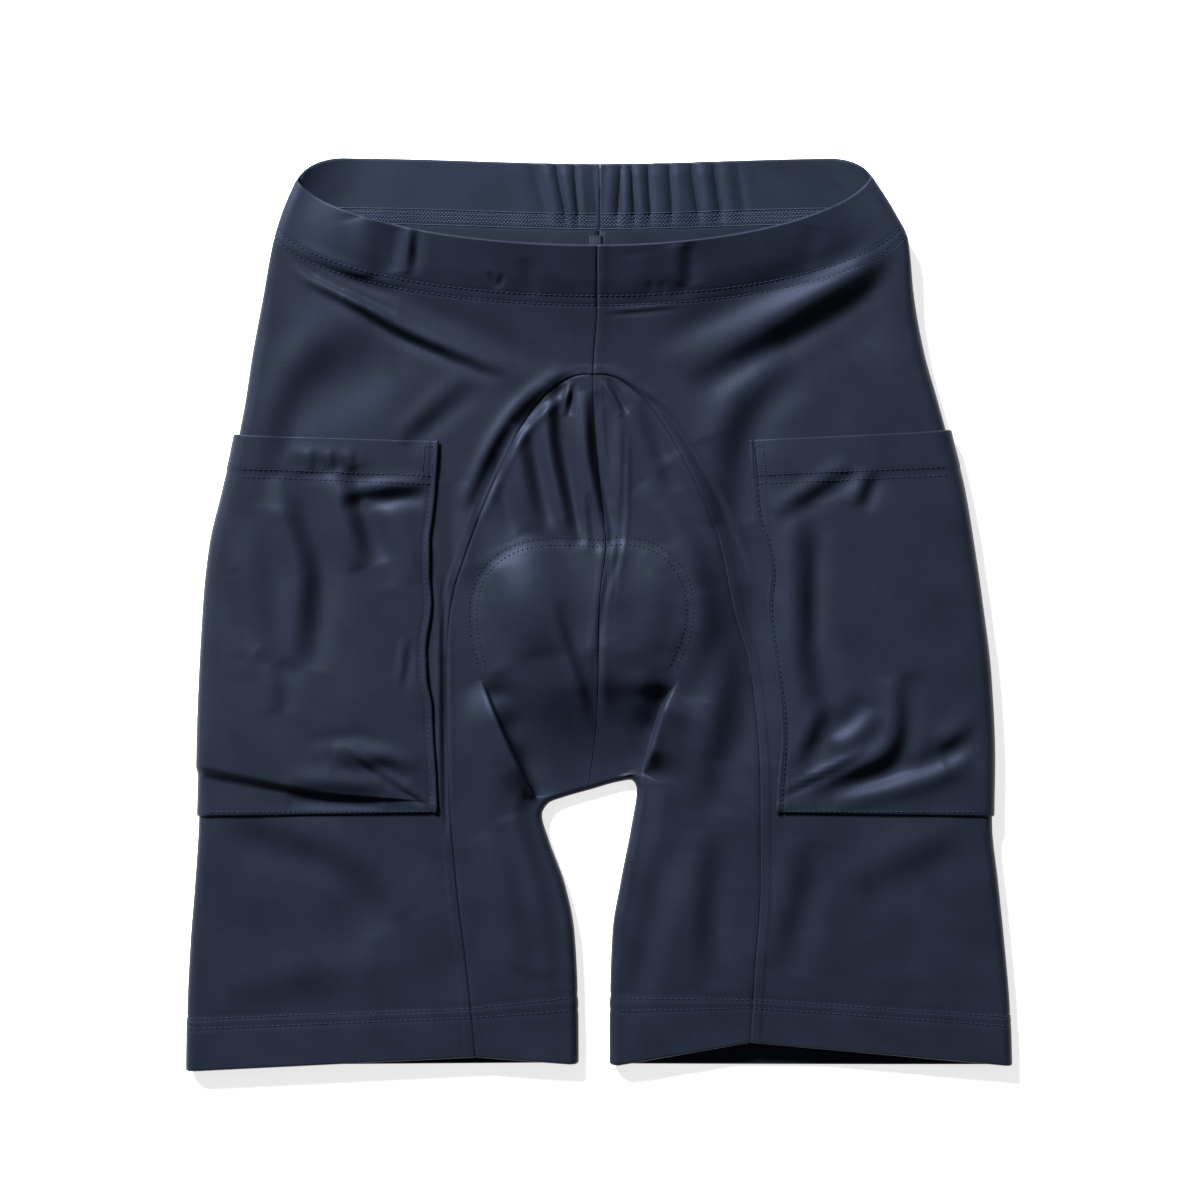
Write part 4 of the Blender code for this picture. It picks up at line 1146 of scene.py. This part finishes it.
coarse = 1
PANEL_LEVELS = joined(
    np.array([-0.04, -0.0015, 0.0015, 0.006]),
    spread(0.006, 0.97, 44 // coarse),
    spread(0.97, 1.03, 5 // coarse + 1),
    spread(1.03, 1.2, 16 // coarse),
    spread(1.2, 2.16, 132 // coarse),
    spread(2.16, 2.8, 54 // coarse),
    spread(2.8, 2.984, 15 // coarse),
    spread(2.984, HEM, 5),
)
SIDE_STATIONS = joined(
    spread(0, 1, 24 // coarse, crowd_start=1.5),
    spread(1, 2, 76 // coarse),
    spread(2, 3, 12),
    spread(3, 5, 22 // coarse),
)
INNER_STATIONS = joined(
    [0, 0.004],
    spread(0.004, 0.5, 30 // coarse, crowd_end=1.4),
    spread(0.5, 0.994, 36 // coarse, crowd_start=1.4),
    [0.994, 1.0],
    spread(1, 2, 10),
    spread(2, 3, 32 // coarse),
)
print("rows of a panel:", len(PANEL_LEVELS), "columns:", len(SIDE_STATIONS), "and", len(INNER_STATIONS))

# %% [markdown]
# ## Side panels and inner panels
#
# These four sheets are the body of the shorts. Below the stitched line of the
# hem the cloth is doubled, so the wall is thicker and stands a little proud.
# Above its seam with the waistband each panel is tucked inside the band.

# %% Make the panels
HEM_EDGE_RADIUS, HEM_PROUD = 1.2, 0.35
TUCK, TUCK_BACK = 2.2, 2.75
LEG_MM = abs(HEM_Y - CROTCH_Y)
HEM_ROWS_MM = (27.0, 22.0)
SEW_SINK, SEW_WIDTH = 0.35, 0.8
NEAR_TABLE = 1.5
# For each kind: the sheet, the node that it stands for, and the station from
# which its knit pattern is measured.
SHEETS = {
    "side": ("side_cloth_", "side_panel_", 1.99),
    "inner": ("inner_cloth_", "inner_panel_", 0.99),
    "band": ("waistband_cloth_", "waistband_", 1.99),
    "pocket": ("pocket_cloth_", "pocket_", 1.99),
}
panels, grids = {}, {}


def finish_panel(points, level, normals):
    """Hem relief and a rounded lower edge on a panel's outer points."""
    on_back = normals[..., 2] < -0.3
    proud = HEM_PROUD * ramp(level, HEM_STITCH, HEM_STITCH + 0.012)
    rows = (HEM - level) * LEG_MM
    sew = np.minimum(*[np.abs(rows - height) for height in HEM_ROWS_MM])
    relief = proud - SEW_SINK * bell(sew, SEW_WIDTH) * (level > CROTCH)
    relief = relief - np.where(on_back, TUCK_BACK, TUCK) * (level < BAND_FOOT)
    lifted = points + normals * relief[..., None]
    low = (points[..., 2] < NEAR_TABLE) & (level > BAND_FOOT)
    lifted[..., 2] = np.where(low, points[..., 2], lifted[..., 2])
    return round_over(lifted, normals, rows, HEM_EDGE_RADIUS)


def make_sheet(kind, side, rows, columns, points, wall, material, keep=True):
    """One sheet from its finished outer points. Its grid is noted for the sewing."""
    cloth_name, node, start = SHEETS[kind]
    turned = -1.0 if kind == "inner" else 1.0
    way = OUTWARD[side] * turned
    grids[kind, side] = (rows, columns, points, outward(points, side) * turned)
    anchor = (int(np.searchsorted(columns, start)), way)
    keep = np.broadcast_to(keep, points.shape[:2])
    panels[node + side] = make_cloth(cloth_name + side, points, keep, way < 0, wall, material, anchor)


for side in SIDES:
    level, station = np.meshgrid(PANEL_LEVELS, SIDE_STATIONS, indexing="ij")
    wall = CLOTH + (HEM_CLOTH - CLOTH) * (PANEL_LEVELS[:, None] >= HEM_STITCH)
    points = side_surface(side, level, station)
    points = finish_panel(points, level, outward(points, side))
    make_sheet("side", side, PANEL_LEVELS, SIDE_STATIONS, points, wall, jersey)

    level, station = np.meshgrid(PANEL_LEVELS, INNER_STATIONS, indexing="ij")
    points = inner_surface(side, level, station)
    normals = -outward(points, side)
    slit = int(np.searchsorted(INNER_STATIONS, 2.0))
    normals[:, slit] = normals[:, slit + 1]
    points = finish_panel(points, level, normals)
    above_peak = (station <= 1) & (level < PEAK)
    above_crotch = (station > 1) & (station < 2) & (level < CROTCH)
    keep = ~(above_peak | above_crotch)
    make_sheet("inner", side, PANEL_LEVELS, INNER_STATIONS, points, wall, jersey, keep)

# %% [markdown]
# ## Waistband
#
# The band is doubled knit over elastic, sewn on with two rows of stitches. At
# the centre back the elastic draws it into upright gathers. They are uneven, so
# each has its own place, depth and width.

# %% Make the waistband
# Each gather has its x at the top and at the foot, its depth and its width.
GATHERS = (
    (-38.5, -28.5, 0.5, 3.4),
    (-25.0, -17.7, 1.3, 1.7),
    (-14.5, -11.8, 1.2, 1.5),
    (-4.5, -2.0, 0.25, 1.6),
    (11.4, 9.3, 1.2, 1.8),
    (16.6, 19.8, 1.2, 1.7),
    (26.0, 28.4, 1.0, 1.7),
    (37.8, 40.2, 1.1, 1.8),
    (50.0, 55.6, 1.3, 2.4),
    (62.3, 67.8, 1.2, 2.4),
    (74.6, 80.5, 0.35, 2.2),
)
BAND_SHADES = (
    (-1.0, 4.0, ((45, 202), (47, 190), (49, 180))),
    (-1.5, 2.4, ((-101, 212), (-102, 200), (-103.5, 186))),
    (0.7, 3.0, ((-108, 210), (-109, 200), (-110, 188))),
    (-2.2, 9.0, ((-124, 218), (-121, 204), (-118, 186))),
)
BAND_SWELLS = (
    (-0.9, 5.0, ((46, 200), (48, 186), (46, 172))),
    (-0.7, 4.0, ((-40, 194), (-38, 184), (-36, 174))),
    (0.6, 7.0, ((20, 196), (22, 184), (20, 172))),
    (-0.8, 6.0, ((118, 212), (116, 200), (112, 190))),
)
BAND_PINCHES = (
    (-1.0, 1.2, ((-60, 187), (-58, 182), (-56, 178))),
    (-1.0, 1.2, ((-52, 186), (-54, 181), (-56, 178))),
    (-0.6, 1.6, ((27, 182), (28, 178), (29, 175))),
    (-0.6, 1.6, ((34, 182), (35, 178), (36, 175))),
)
BAND_LEVELS = joined(spread(-1.0, -0.94, 7), spread(-0.94, -0.01, 34 // coarse), [-0.01, -0.005, -0.0015])
BAND_STATIONS = joined(
    spread(0, 2, 110 // coarse), spread(2, 3, 14), spread(3, 5, 36 // coarse), spread(5, 6, 130 // coarse)
)
# A gather is a trough between two swells. Each has a height as a share of the
# depth, and its place and its half width as shares of the width.
GATHER_FORM = ((0.7, -2.2, 1.6), (-1.1, 0.5, 1.0), (0.5, 2.8, 1.4))
BAND_SEW_ROWS = (0.04, 0.19)
BAND_DEPTH, BAND_EDGE_RADIUS = 37.0, 1.1
BAND_SEW_SINK, BAND_PROUD, BACK_RISE, DEEPEST_GATHER = 0.22, 0.12, 0.7, -0.7


def gather_relief(x, level):
    """Pinched troughs at the back, where the elastic draws the band together."""
    z = np.zeros(np.shape(x))
    for top, foot, depth, width in GATHERS:
        d = x - mix(foot, top, -level)
        fade = ramp(level, BAND_FOOT, -0.3) * mix(0.45, 1.0, ramp(level, BAND_TOP, -0.8))
        for height, middle, half in GATHER_FORM:
            z += depth * fade * height * bell(d - middle * width, half * width)
    return z


for side in SIDES:
    level, station = np.meshgrid(BAND_LEVELS, BAND_STATIONS, indexing="ij")
    points = side_surface(side, level, station)
    normals = outward(points, side)
    on_front = ramp(station, 2.0, 1.7) * ramp(level, BAND_FOOT, -0.15)
    strokes = stroke_heights(points[..., 0], points[..., 1], BAND_SHADES, BAND_SWELLS, BAND_PINCHES)
    relief = on_front * strokes
    for row in BAND_SEW_ROWS:
        sew = (level + row) * BAND_DEPTH
        relief = relief - BAND_SEW_SINK * bell(sew, SEW_WIDTH) * (station < 2.4)
    relief = relief + BAND_PROUD * ramp(level, -0.03, -0.06) * (station < 2.5)
    points = points + normals * relief[..., None]
    ripples = np.where(station > 4, gather_relief(points[..., 0], level), 0.0)
    points[..., 2] += np.maximum(ripples, DEEPEST_GATHER) + BACK_RISE * ramp(station, 4, 5.2)
    points = round_over(points, normals, (level - BAND_TOP) * BAND_DEPTH, BAND_EDGE_RADIUS)
    make_sheet("band", side, BAND_LEVELS, BAND_STATIONS, points, BAND_CLOTH, band_jersey_painted_light)

# %% [markdown]
# ## Pockets and seat pad
#
# Each pocket is a single layer with a turned hem at its mouth. The seat pad is
# hidden between the layers. It is folded there, and fills the swell of the
# front, so it is one rounded pad with a fleece face.

# %% Make the pockets
POCKET_SHARES = joined(
    spread(0, 0.012, 4), spread(0.012, 0.84, 104 // coarse), spread(0.84, 0.92, 22 // coarse),
    spread(0.92, 1, 10 // coarse + 3),
)
POCKET_LENGTH, POCKET_WIDTH, POCKET_EDGE_RADIUS, NO_EDGE = 205.0, 125.0, 0.6, 99.0
POCKET_STATIONS = joined(
    spread(1, 1.02, 3), spread(1.02, 2, 84 // coarse), spread(2, 3, 12), spread(3, 4, 12 // coarse)
)
for side in SIDES:
    share, station = np.meshgrid(POCKET_SHARES, POCKET_STATIONS, indexing="ij")
    points = pocket_surface(side, share, station)
    from_seam = np.where(station < 1.5, (station - 1) * POCKET_WIDTH, NO_EDGE)
    from_ends = np.minimum(share, 1 - share) * POCKET_LENGTH
    from_edge = np.minimum(from_seam, from_ends)
    points = round_over(points, outward(points, side), from_edge, POCKET_EDGE_RADIUS)
    make_sheet("pocket", side, POCKET_SHARES, POCKET_STATIONS, points, CLOTH, jersey)


# %% Make the seat pad
PAD_MIDDLE = (-4.0, 0.0)
PAD_REAR_HALF_WIDTH, PAD_REAR_TOP, PAD_REAR_FOOT, PAD_NARROW = 86.0, 102.0, 82.0, 25.0
PAD_LAST_Y, PAD_BASE, PAD_EDGE, PAD_LEAST, PAD_CLEARANCE = -80.0, 1.6, 1.2, 3.2, 1.5
PAD_LOW_TOP, PAD_LOBE_TOP, PAD_GROOVE_X, PAD_GROOVE_WIDTH = 4.6, 13.5, 30, 3.0


def pad_radius(angle):
    """Outline of the folded pad, wide at the seat and narrow at the crotch."""
    front_wide = mix(PAD_REAR_HALF_WIDTH, PAD_NARROW, ease(-np.sin(angle)))
    wide = np.where(np.sin(angle) > 0, PAD_REAR_HALF_WIDTH, front_wide)
    tall = np.where(np.sin(angle) > 0, PAD_REAR_TOP, PAD_REAR_FOOT)
    return 1 / np.hypot(np.cos(angle) / wide, np.sin(angle) / tall)


def make_pad():
    """A crowned pad from a ball primitive, whose points are moved to its form."""
    angle = np.arctan2(ball_verts[:, 1], ball_verts[:, 0])
    out = np.hypot(ball_verts[:, 0], ball_verts[:, 1])
    reach = pad_radius(angle) * out
    x = PAD_MIDDLE[0] + reach * np.cos(angle)
    y = np.maximum(PAD_MIDDLE[1] + reach * np.sin(angle), PAD_LAST_Y)
    lobe = ramp(inside_pad(x, y), 4.0, 28.0)
    groove = bell(np.abs(x - PAD_MIDDLE[0]) - PAD_GROOVE_X, PAD_GROOVE_WIDTH)
    top = mix(PAD_LOW_TOP, PAD_LOBE_TOP, lobe) - groove * (1 - lobe)
    room = front_height(level_of(y), x, y, 0.0) - CLOTH - PAD_CLEARANCE
    top = np.minimum(top, np.maximum(room, PAD_LEAST))
    crown_share = np.sqrt(np.clip(1 - out**2, 0, 1)) ** 0.5
    swell = np.where(ball_verts[:, 2] > 0, top - PAD_EDGE, -PAD_EDGE)
    z = PAD_BASE + PAD_EDGE + swell * crown_share
    mesh = bpy.data.meshes.new("seat_pad_fleece")
    mesh.from_pydata((np.stack([x, y, z], -1) * MM).tolist(), [], ball_faces)
    dress_mesh(mesh, x, y, fleece)
    pad = add_object("seat_pad_fleece", mesh)
    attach(pad, "root")
    return pad


pad = make_pad()
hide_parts("seat_pad")
print("seat pad:", len(pad.data.polygons), "faces")

# %% [markdown]
# ## Stitches
#
# The hems, the waistband and the pocket mouths are sewn with a twin needle,
# which leaves two rows of short stitches 5 mm apart. The pockets have one row
# near their edge, the pad a wide zigzag, and the inside of the waistband the
# looped underside of the twin rows. One stitch is modelled from a small ball and
# copied along each line, and all lines of one kind are one mesh.

# %% One stitch and its copies
def model_stitch():
    """A thread dash along X, one unit long, from a ball turned onto its side."""
    verts, faces = model_ball(6, 5, 0.5)
    return verts[:, (2, 1, 0)] * (1.0, 1.0, -1.0), faces


STITCH_VERTS, STITCH_FACES = model_stitch()
LOOK_AHEAD, STITCH_RISE, STITCH_FLAT = 0.3, 0.3, 0.8


def running_length(points):
    """How far along a line each of its points is."""
    steps = np.linalg.norm(np.diff(points, axis=0), axis=1)
    return np.concatenate([[0], np.cumsum(steps)])


def read_along(at, run, values):
    """Values of a line, such as its points, at places along it."""
    return np.stack([np.interp(at, run, column) for column in values.T], -1)


def resample(points, normals, spacing):
    """Points and normals at an even spacing along a line, and its directions."""
    run = running_length(points)
    count = max(int(run[-1] / spacing), 1)
    at = (np.arange(count) + 0.5) * run[-1] / count
    way = read_along(at + LOOK_AHEAD, run, points) - read_along(at - LOOK_AHEAD, run, points)
    return read_along(at, run, points), unit(read_along(at, run, normals)), unit(way)


def stitch_mesh(name, runs, length, width, spacing, sink=0.12, material=thread):
    """One mesh of stitches along several lines of points and normals in mm."""
    verts, faces, done = [], [], 0
    for points, normals in runs:
        place, normal, way = resample(np.asarray(points), np.asarray(normals), spacing)
        across = unit(np.cross(normal, way))
        for i in range(len(place)):
            shape = (
                place[i]
                + normal[i] * (width * STITCH_RISE - sink)
                + STITCH_VERTS[:, :1] * length * way[i]
                + STITCH_VERTS[:, 1:2] * width * across[i]
                + STITCH_VERTS[:, 2:] * width * STITCH_FLAT * normal[i]
            )
            verts.append(shape)
            faces.extend([[v + done for v in face] for face in STITCH_FACES])
            done += len(shape)
    places = np.concatenate(verts)
    mesh = bpy.data.meshes.new(name)
    mesh.from_pydata((places * MM).tolist(), [], faces)
    dress_mesh(mesh, places[:, 0], places[:, 1], material)
    row = add_object(name, mesh)
    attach(row, "root")
    print(name, "has", done // len(STITCH_VERTS), "stitches")
    return row


def grid_run(piece, side, row, column, height=0.1):
    """A line on finished cloth, between its grid points, as points and normals."""
    rows, columns, points, normals = grids[piece, side]
    row, column = np.broadcast_arrays(np.asarray(row, float), np.asarray(column, float))
    i = np.clip(np.searchsorted(rows, row) - 1, 0, len(rows) - 2)
    j = np.clip(np.searchsorted(columns, column) - 1, 0, len(columns) - 2)
    s = ((row - rows[i]) / (rows[i + 1] - rows[i]))[:, None]
    t = ((column - columns[j]) / (columns[j + 1] - columns[j]))[:, None]

    def read(grid):
        return mix(mix(grid[i, j], grid[i, j + 1], t), mix(grid[i + 1, j], grid[i + 1, j + 1], t), s)

    normal = unit(read(normals))
    return read(points) + normal * height, normal


# %% Twin rows on hems and waistband
hem_runs, band_runs = [], []
for side in SIDES:
    for row in [HEM - height / LEG_MM for height in HEM_ROWS_MM]:
        hem_runs.append(grid_run("side", side, row, np.linspace(0.01, 2.98, 420)))
        hem_runs.append(grid_run("inner", side, row, np.linspace(0.01, 0.98, 120)))
    for row in BAND_SEW_ROWS:
        band_runs.append(grid_run("band", side, -row, np.linspace(0.01, 2.4, 300)))
stitch_mesh("hem_stitches", hem_runs, length=2.3, width=0.6, spacing=2.9)
stitch_mesh("waistband_stitches", band_runs, length=2.3, width=0.6, spacing=2.9)


# %% Pocket stitches and bar tacks
POCKET_ROWS, POCKET_FOOT_ROW, POCKET_EDGE_ROW = (0.108, 0.132), 0.982, 1.028
TACK_FOOT, TACK_BACK = 0.13, 1.075

pocket_runs, tack_runs = [], []
for side in SIDES:
    across = np.linspace(1.03, 1.99, 120)
    for share in POCKET_ROWS + (POCKET_FOOT_ROW,):
        pocket_runs.append(grid_run("pocket", side, share, across))
    pocket_runs.append(grid_run("pocket", side, np.linspace(0.02, 0.985, 160), POCKET_EDGE_ROW))
    for station in (POCKET_EDGE_ROW, TACK_BACK):
        tack_runs.append(grid_run("pocket", side, np.linspace(0.02, TACK_FOOT, 24), station))
    for share in (0.02, TACK_FOOT):
        tack_runs.append(grid_run("pocket", side, share, np.linspace(POCKET_EDGE_ROW, TACK_BACK, 12)))
stitch_mesh("pocket_stitches", pocket_runs, length=2.2, width=0.55, spacing=2.8)
stitch_mesh("pocket_corner_tacks", tack_runs, length=1.3, width=0.65, spacing=1.4)

# %% [markdown]
# The pad is sewn on with a zigzag about 4 mm wide. Only its two rows of needle marks show clearly, where the
# thread dips into the cloth. The shade in these dips is painted: each mark is a dark dot in the black tape's
# material. The thread between them is almost flush with the knit.

# %% Zigzag round the pad
ZIGZAG_HALF_WIDTH, ZIGZAG_STEP = 2.0, 2.6


def plan_run(points, swing, offset=0.0):
    """A line on the front from plan points, moved aside or swung to and fro."""
    p = np.array(curved(points, 6), float)
    run = running_length(p)
    count = int(run[-1] / ZIGZAG_STEP)
    x, y = read_along(np.linspace(0, run[-1], count), run, p).T
    dx, dy = np.gradient(x), np.gradient(y)
    size = np.hypot(dx, dy)
    side = np.where(np.arange(count) % 2 == 0, swing, -swing) + offset
    x, y = x - dy / size * side, y + dx / size * side
    level = level_of(y)
    d = 0.5

    def height(a, b):
        return front_height(level, a, b, 0.0)

    z = height(x, y)
    slope_x = height(x - d, y) - height(x + d, y)
    slope_y = height(x, y - d) - height(x, y + d)
    return np.stack([x, y, z], -1), unit(np.stack([slope_x, slope_y, np.full(count, 2 * d)], -1))


zigzag_rows = [plan_run(PAD_LINE, 0.0, sign * ZIGZAG_HALF_WIDTH) for sign in (-1, 1)]
zigzag = [plan_run(PAD_LINE, ZIGZAG_HALF_WIDTH)]
stitch_mesh("pad_zigzag_thread", zigzag, length=1.4, width=0.3, spacing=1.6, sink=0.22)
# The needle marks are dark dots in the tape's material: painted shade in the dips where the thread sinks
# into the knit.
stitch_mesh(
    "pad_needle_dips_painted_shade", zigzag_rows, length=1.2, width=0.9, spacing=ZIGZAG_STEP, sink=0.24, material=tape
)

# %% [markdown]
# Inside the back of the waistband the twin rows show their looped underside: a
# flat band of crossing threads. Under it, a short tape covers the centre back
# seam.

# %% Looped stitches inside the back, and the seam tape
LOOP_FIRST, LOOP_LAST, LOOP_COUNT, LOOP_SWING = -0.25, -0.035, 5, 0.75
LOOP_START_X, LOOP_STEP = 158.0, 0.95
TAPE_X, TAPE_Y, TAPE_Z = -2.0, 186.0, 3.0
TAPE_WIDE, TAPE_LONG, TAPE_THICK, TAPE_CROWN, TAPE_CROWN_WIDTH = 7.0, 46.0, 0.5, 0.4, 0.35


def inside_run(side, row, swing):
    """A zigzag on the inner face of the back of the waistband."""
    rows, columns, points, _ = grids["band", side]
    back = columns >= 3.05
    across = np.abs(points[np.searchsorted(rows, row), back, 0])
    x = np.arange(LOOP_START_X, 0.6, -LOOP_STEP)
    station = np.interp(-x, -across, columns[back])
    turns = np.where(np.arange(len(x)) % 2 == 0, swing, -swing)
    run, normals = grid_run("band", side, row + turns / BAND_DEPTH, station, -BAND_CLOTH - 0.1)
    return run, -normals


loop_runs = []
for side in SIDES:
    for row in np.linspace(LOOP_FIRST, LOOP_LAST, LOOP_COUNT):
        edge = row in (LOOP_FIRST, LOOP_LAST)
        loop_runs.append(inside_run(side, row, 0.0 if edge else LOOP_SWING))
stitch_mesh(
    "waistband_inside_loops", loop_runs, length=1.2, width=0.5, spacing=1.2, material=loop_thread
)


def make_tape():
    """A flat tape over the centre back seam, from a thin block with a round top."""
    bpy.ops.object.select_all(action="DESELECT")
    bpy.ops.mesh.primitive_cube_add(size=1.0)
    strip = bpy.context.active_object
    strip.name = strip.data.name = "centre_back_tape"
    bpy.ops.object.mode_set(mode="EDIT")
    bpy.ops.mesh.select_all(action="SELECT")
    bpy.ops.mesh.subdivide(number_cuts=5)
    bpy.ops.object.mode_set(mode="OBJECT")
    points = np.array([tuple(v.co) for v in strip.data.vertices])
    x = TAPE_X + points[:, 0] * TAPE_WIDE
    y = TAPE_Y + points[:, 1] * TAPE_LONG
    z = TAPE_Z + points[:, 2] * TAPE_THICK + TAPE_CROWN * bell(points[:, 0], TAPE_CROWN_WIDTH)
    strip.data.vertices.foreach_set("co", (np.stack([x, y, z], -1) * MM).ravel())
    dress_mesh(strip.data, x, y, tape)
    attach(strip, "root")
    return strip


tape_strip = make_tape()
print("seam tape:", len(tape_strip.data.polygons), "faces")

# %% [markdown]
# ## Hiding the solids
#
# Each solid that a sheet stands for is hidden, so that only the cloth is drawn. The area printed for each
# sheet is that of its outer face.

# %% Sheets and the solids they replace
for node, (cloth, area) in panels.items():
    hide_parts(node)

# %% [markdown]
# ## Table, light and camera
#
# The garment lies on a plain white table. A large soft lamp stands at the upper
# left, and pale surroundings fill the shadows. The camera looks straight down
# from 1.6 m, and its lens is worked out from the width of the frame: 1200
# pixels of 0.55 mm.

# %% Stage
FRAME_MM, CAMERA_HEIGHT = 1200 * 0.55, 1600.0
CAMERA_X, CAMERA_Y = 0.5, 7.7
SENSOR_MM = 36.0
LAMP_PLACE, LAMP_SIZE, LAMP_POWER, ROOM_LIGHT = (-1.9, 2.9, 2.05), 1.2, 920.0, 0.15
WHITE = (1.0, 1.0, 1.0, 1.0)


def add_floor():
    bpy.ops.object.select_all(action="DESELECT")
    bpy.ops.mesh.primitive_plane_add(size=6.0, location=(0, 0, -0.0002))
    floor = bpy.context.active_object
    floor.name = "white_table"
    material = bpy.data.materials.new("white_table_matt_paint")
    material.use_nodes = True
    shader = material.node_tree.nodes["Principled BSDF"]
    shader.inputs["Base Color"].default_value = linear("F4F4F4")
    shader.inputs["Roughness"].default_value = 0.8
    shader.inputs["Emission Color"].default_value = WHITE
    shader.inputs["Emission Strength"].default_value = 0.7
    floor.data.materials.append(material)
    return floor


def add_lamp(name, place, target, size, power):
    data = bpy.data.lights.new(name, "AREA")
    data.shape = "DISK"
    data.size = size
    data.energy = power
    lamp = add_object(name, data)
    lamp.location = place
    way = np.array(target, float) - np.array(place, float)
    flat = math.hypot(way[0], way[1])
    lamp.rotation_euler = (math.atan2(flat, -way[2]), 0, math.atan2(way[1], way[0]) - math.pi / 2)
    return lamp


def add_camera():
    data = bpy.data.cameras.new("overhead")
    data.sensor_width = SENSOR_MM
    data.lens = SENSOR_MM * CAMERA_HEIGHT / FRAME_MM
    data.clip_start, data.clip_end = 0.05, 20.0
    camera = add_object("overhead", data)
    camera.location = (CAMERA_X * MM, CAMERA_Y * MM, (CAMERA_HEIGHT + 10.0) * MM)
    bpy.context.scene.camera = camera
    return camera


add_floor()
add_lamp("key_softbox", LAMP_PLACE, (0, 0, 0), LAMP_SIZE, LAMP_POWER)
add_camera()
world = bpy.data.worlds.new("pale_room")
world.use_nodes = True
world.node_tree.nodes["Background"].inputs["Color"].default_value = WHITE
world.node_tree.nodes["Background"].inputs["Strength"].default_value = ROOM_LIGHT
bpy.context.scene.world = world
bpy.context.scene.view_settings.view_transform = "Standard"
print("lens:", round(bpy.context.scene.camera.data.lens, 1), "mm")
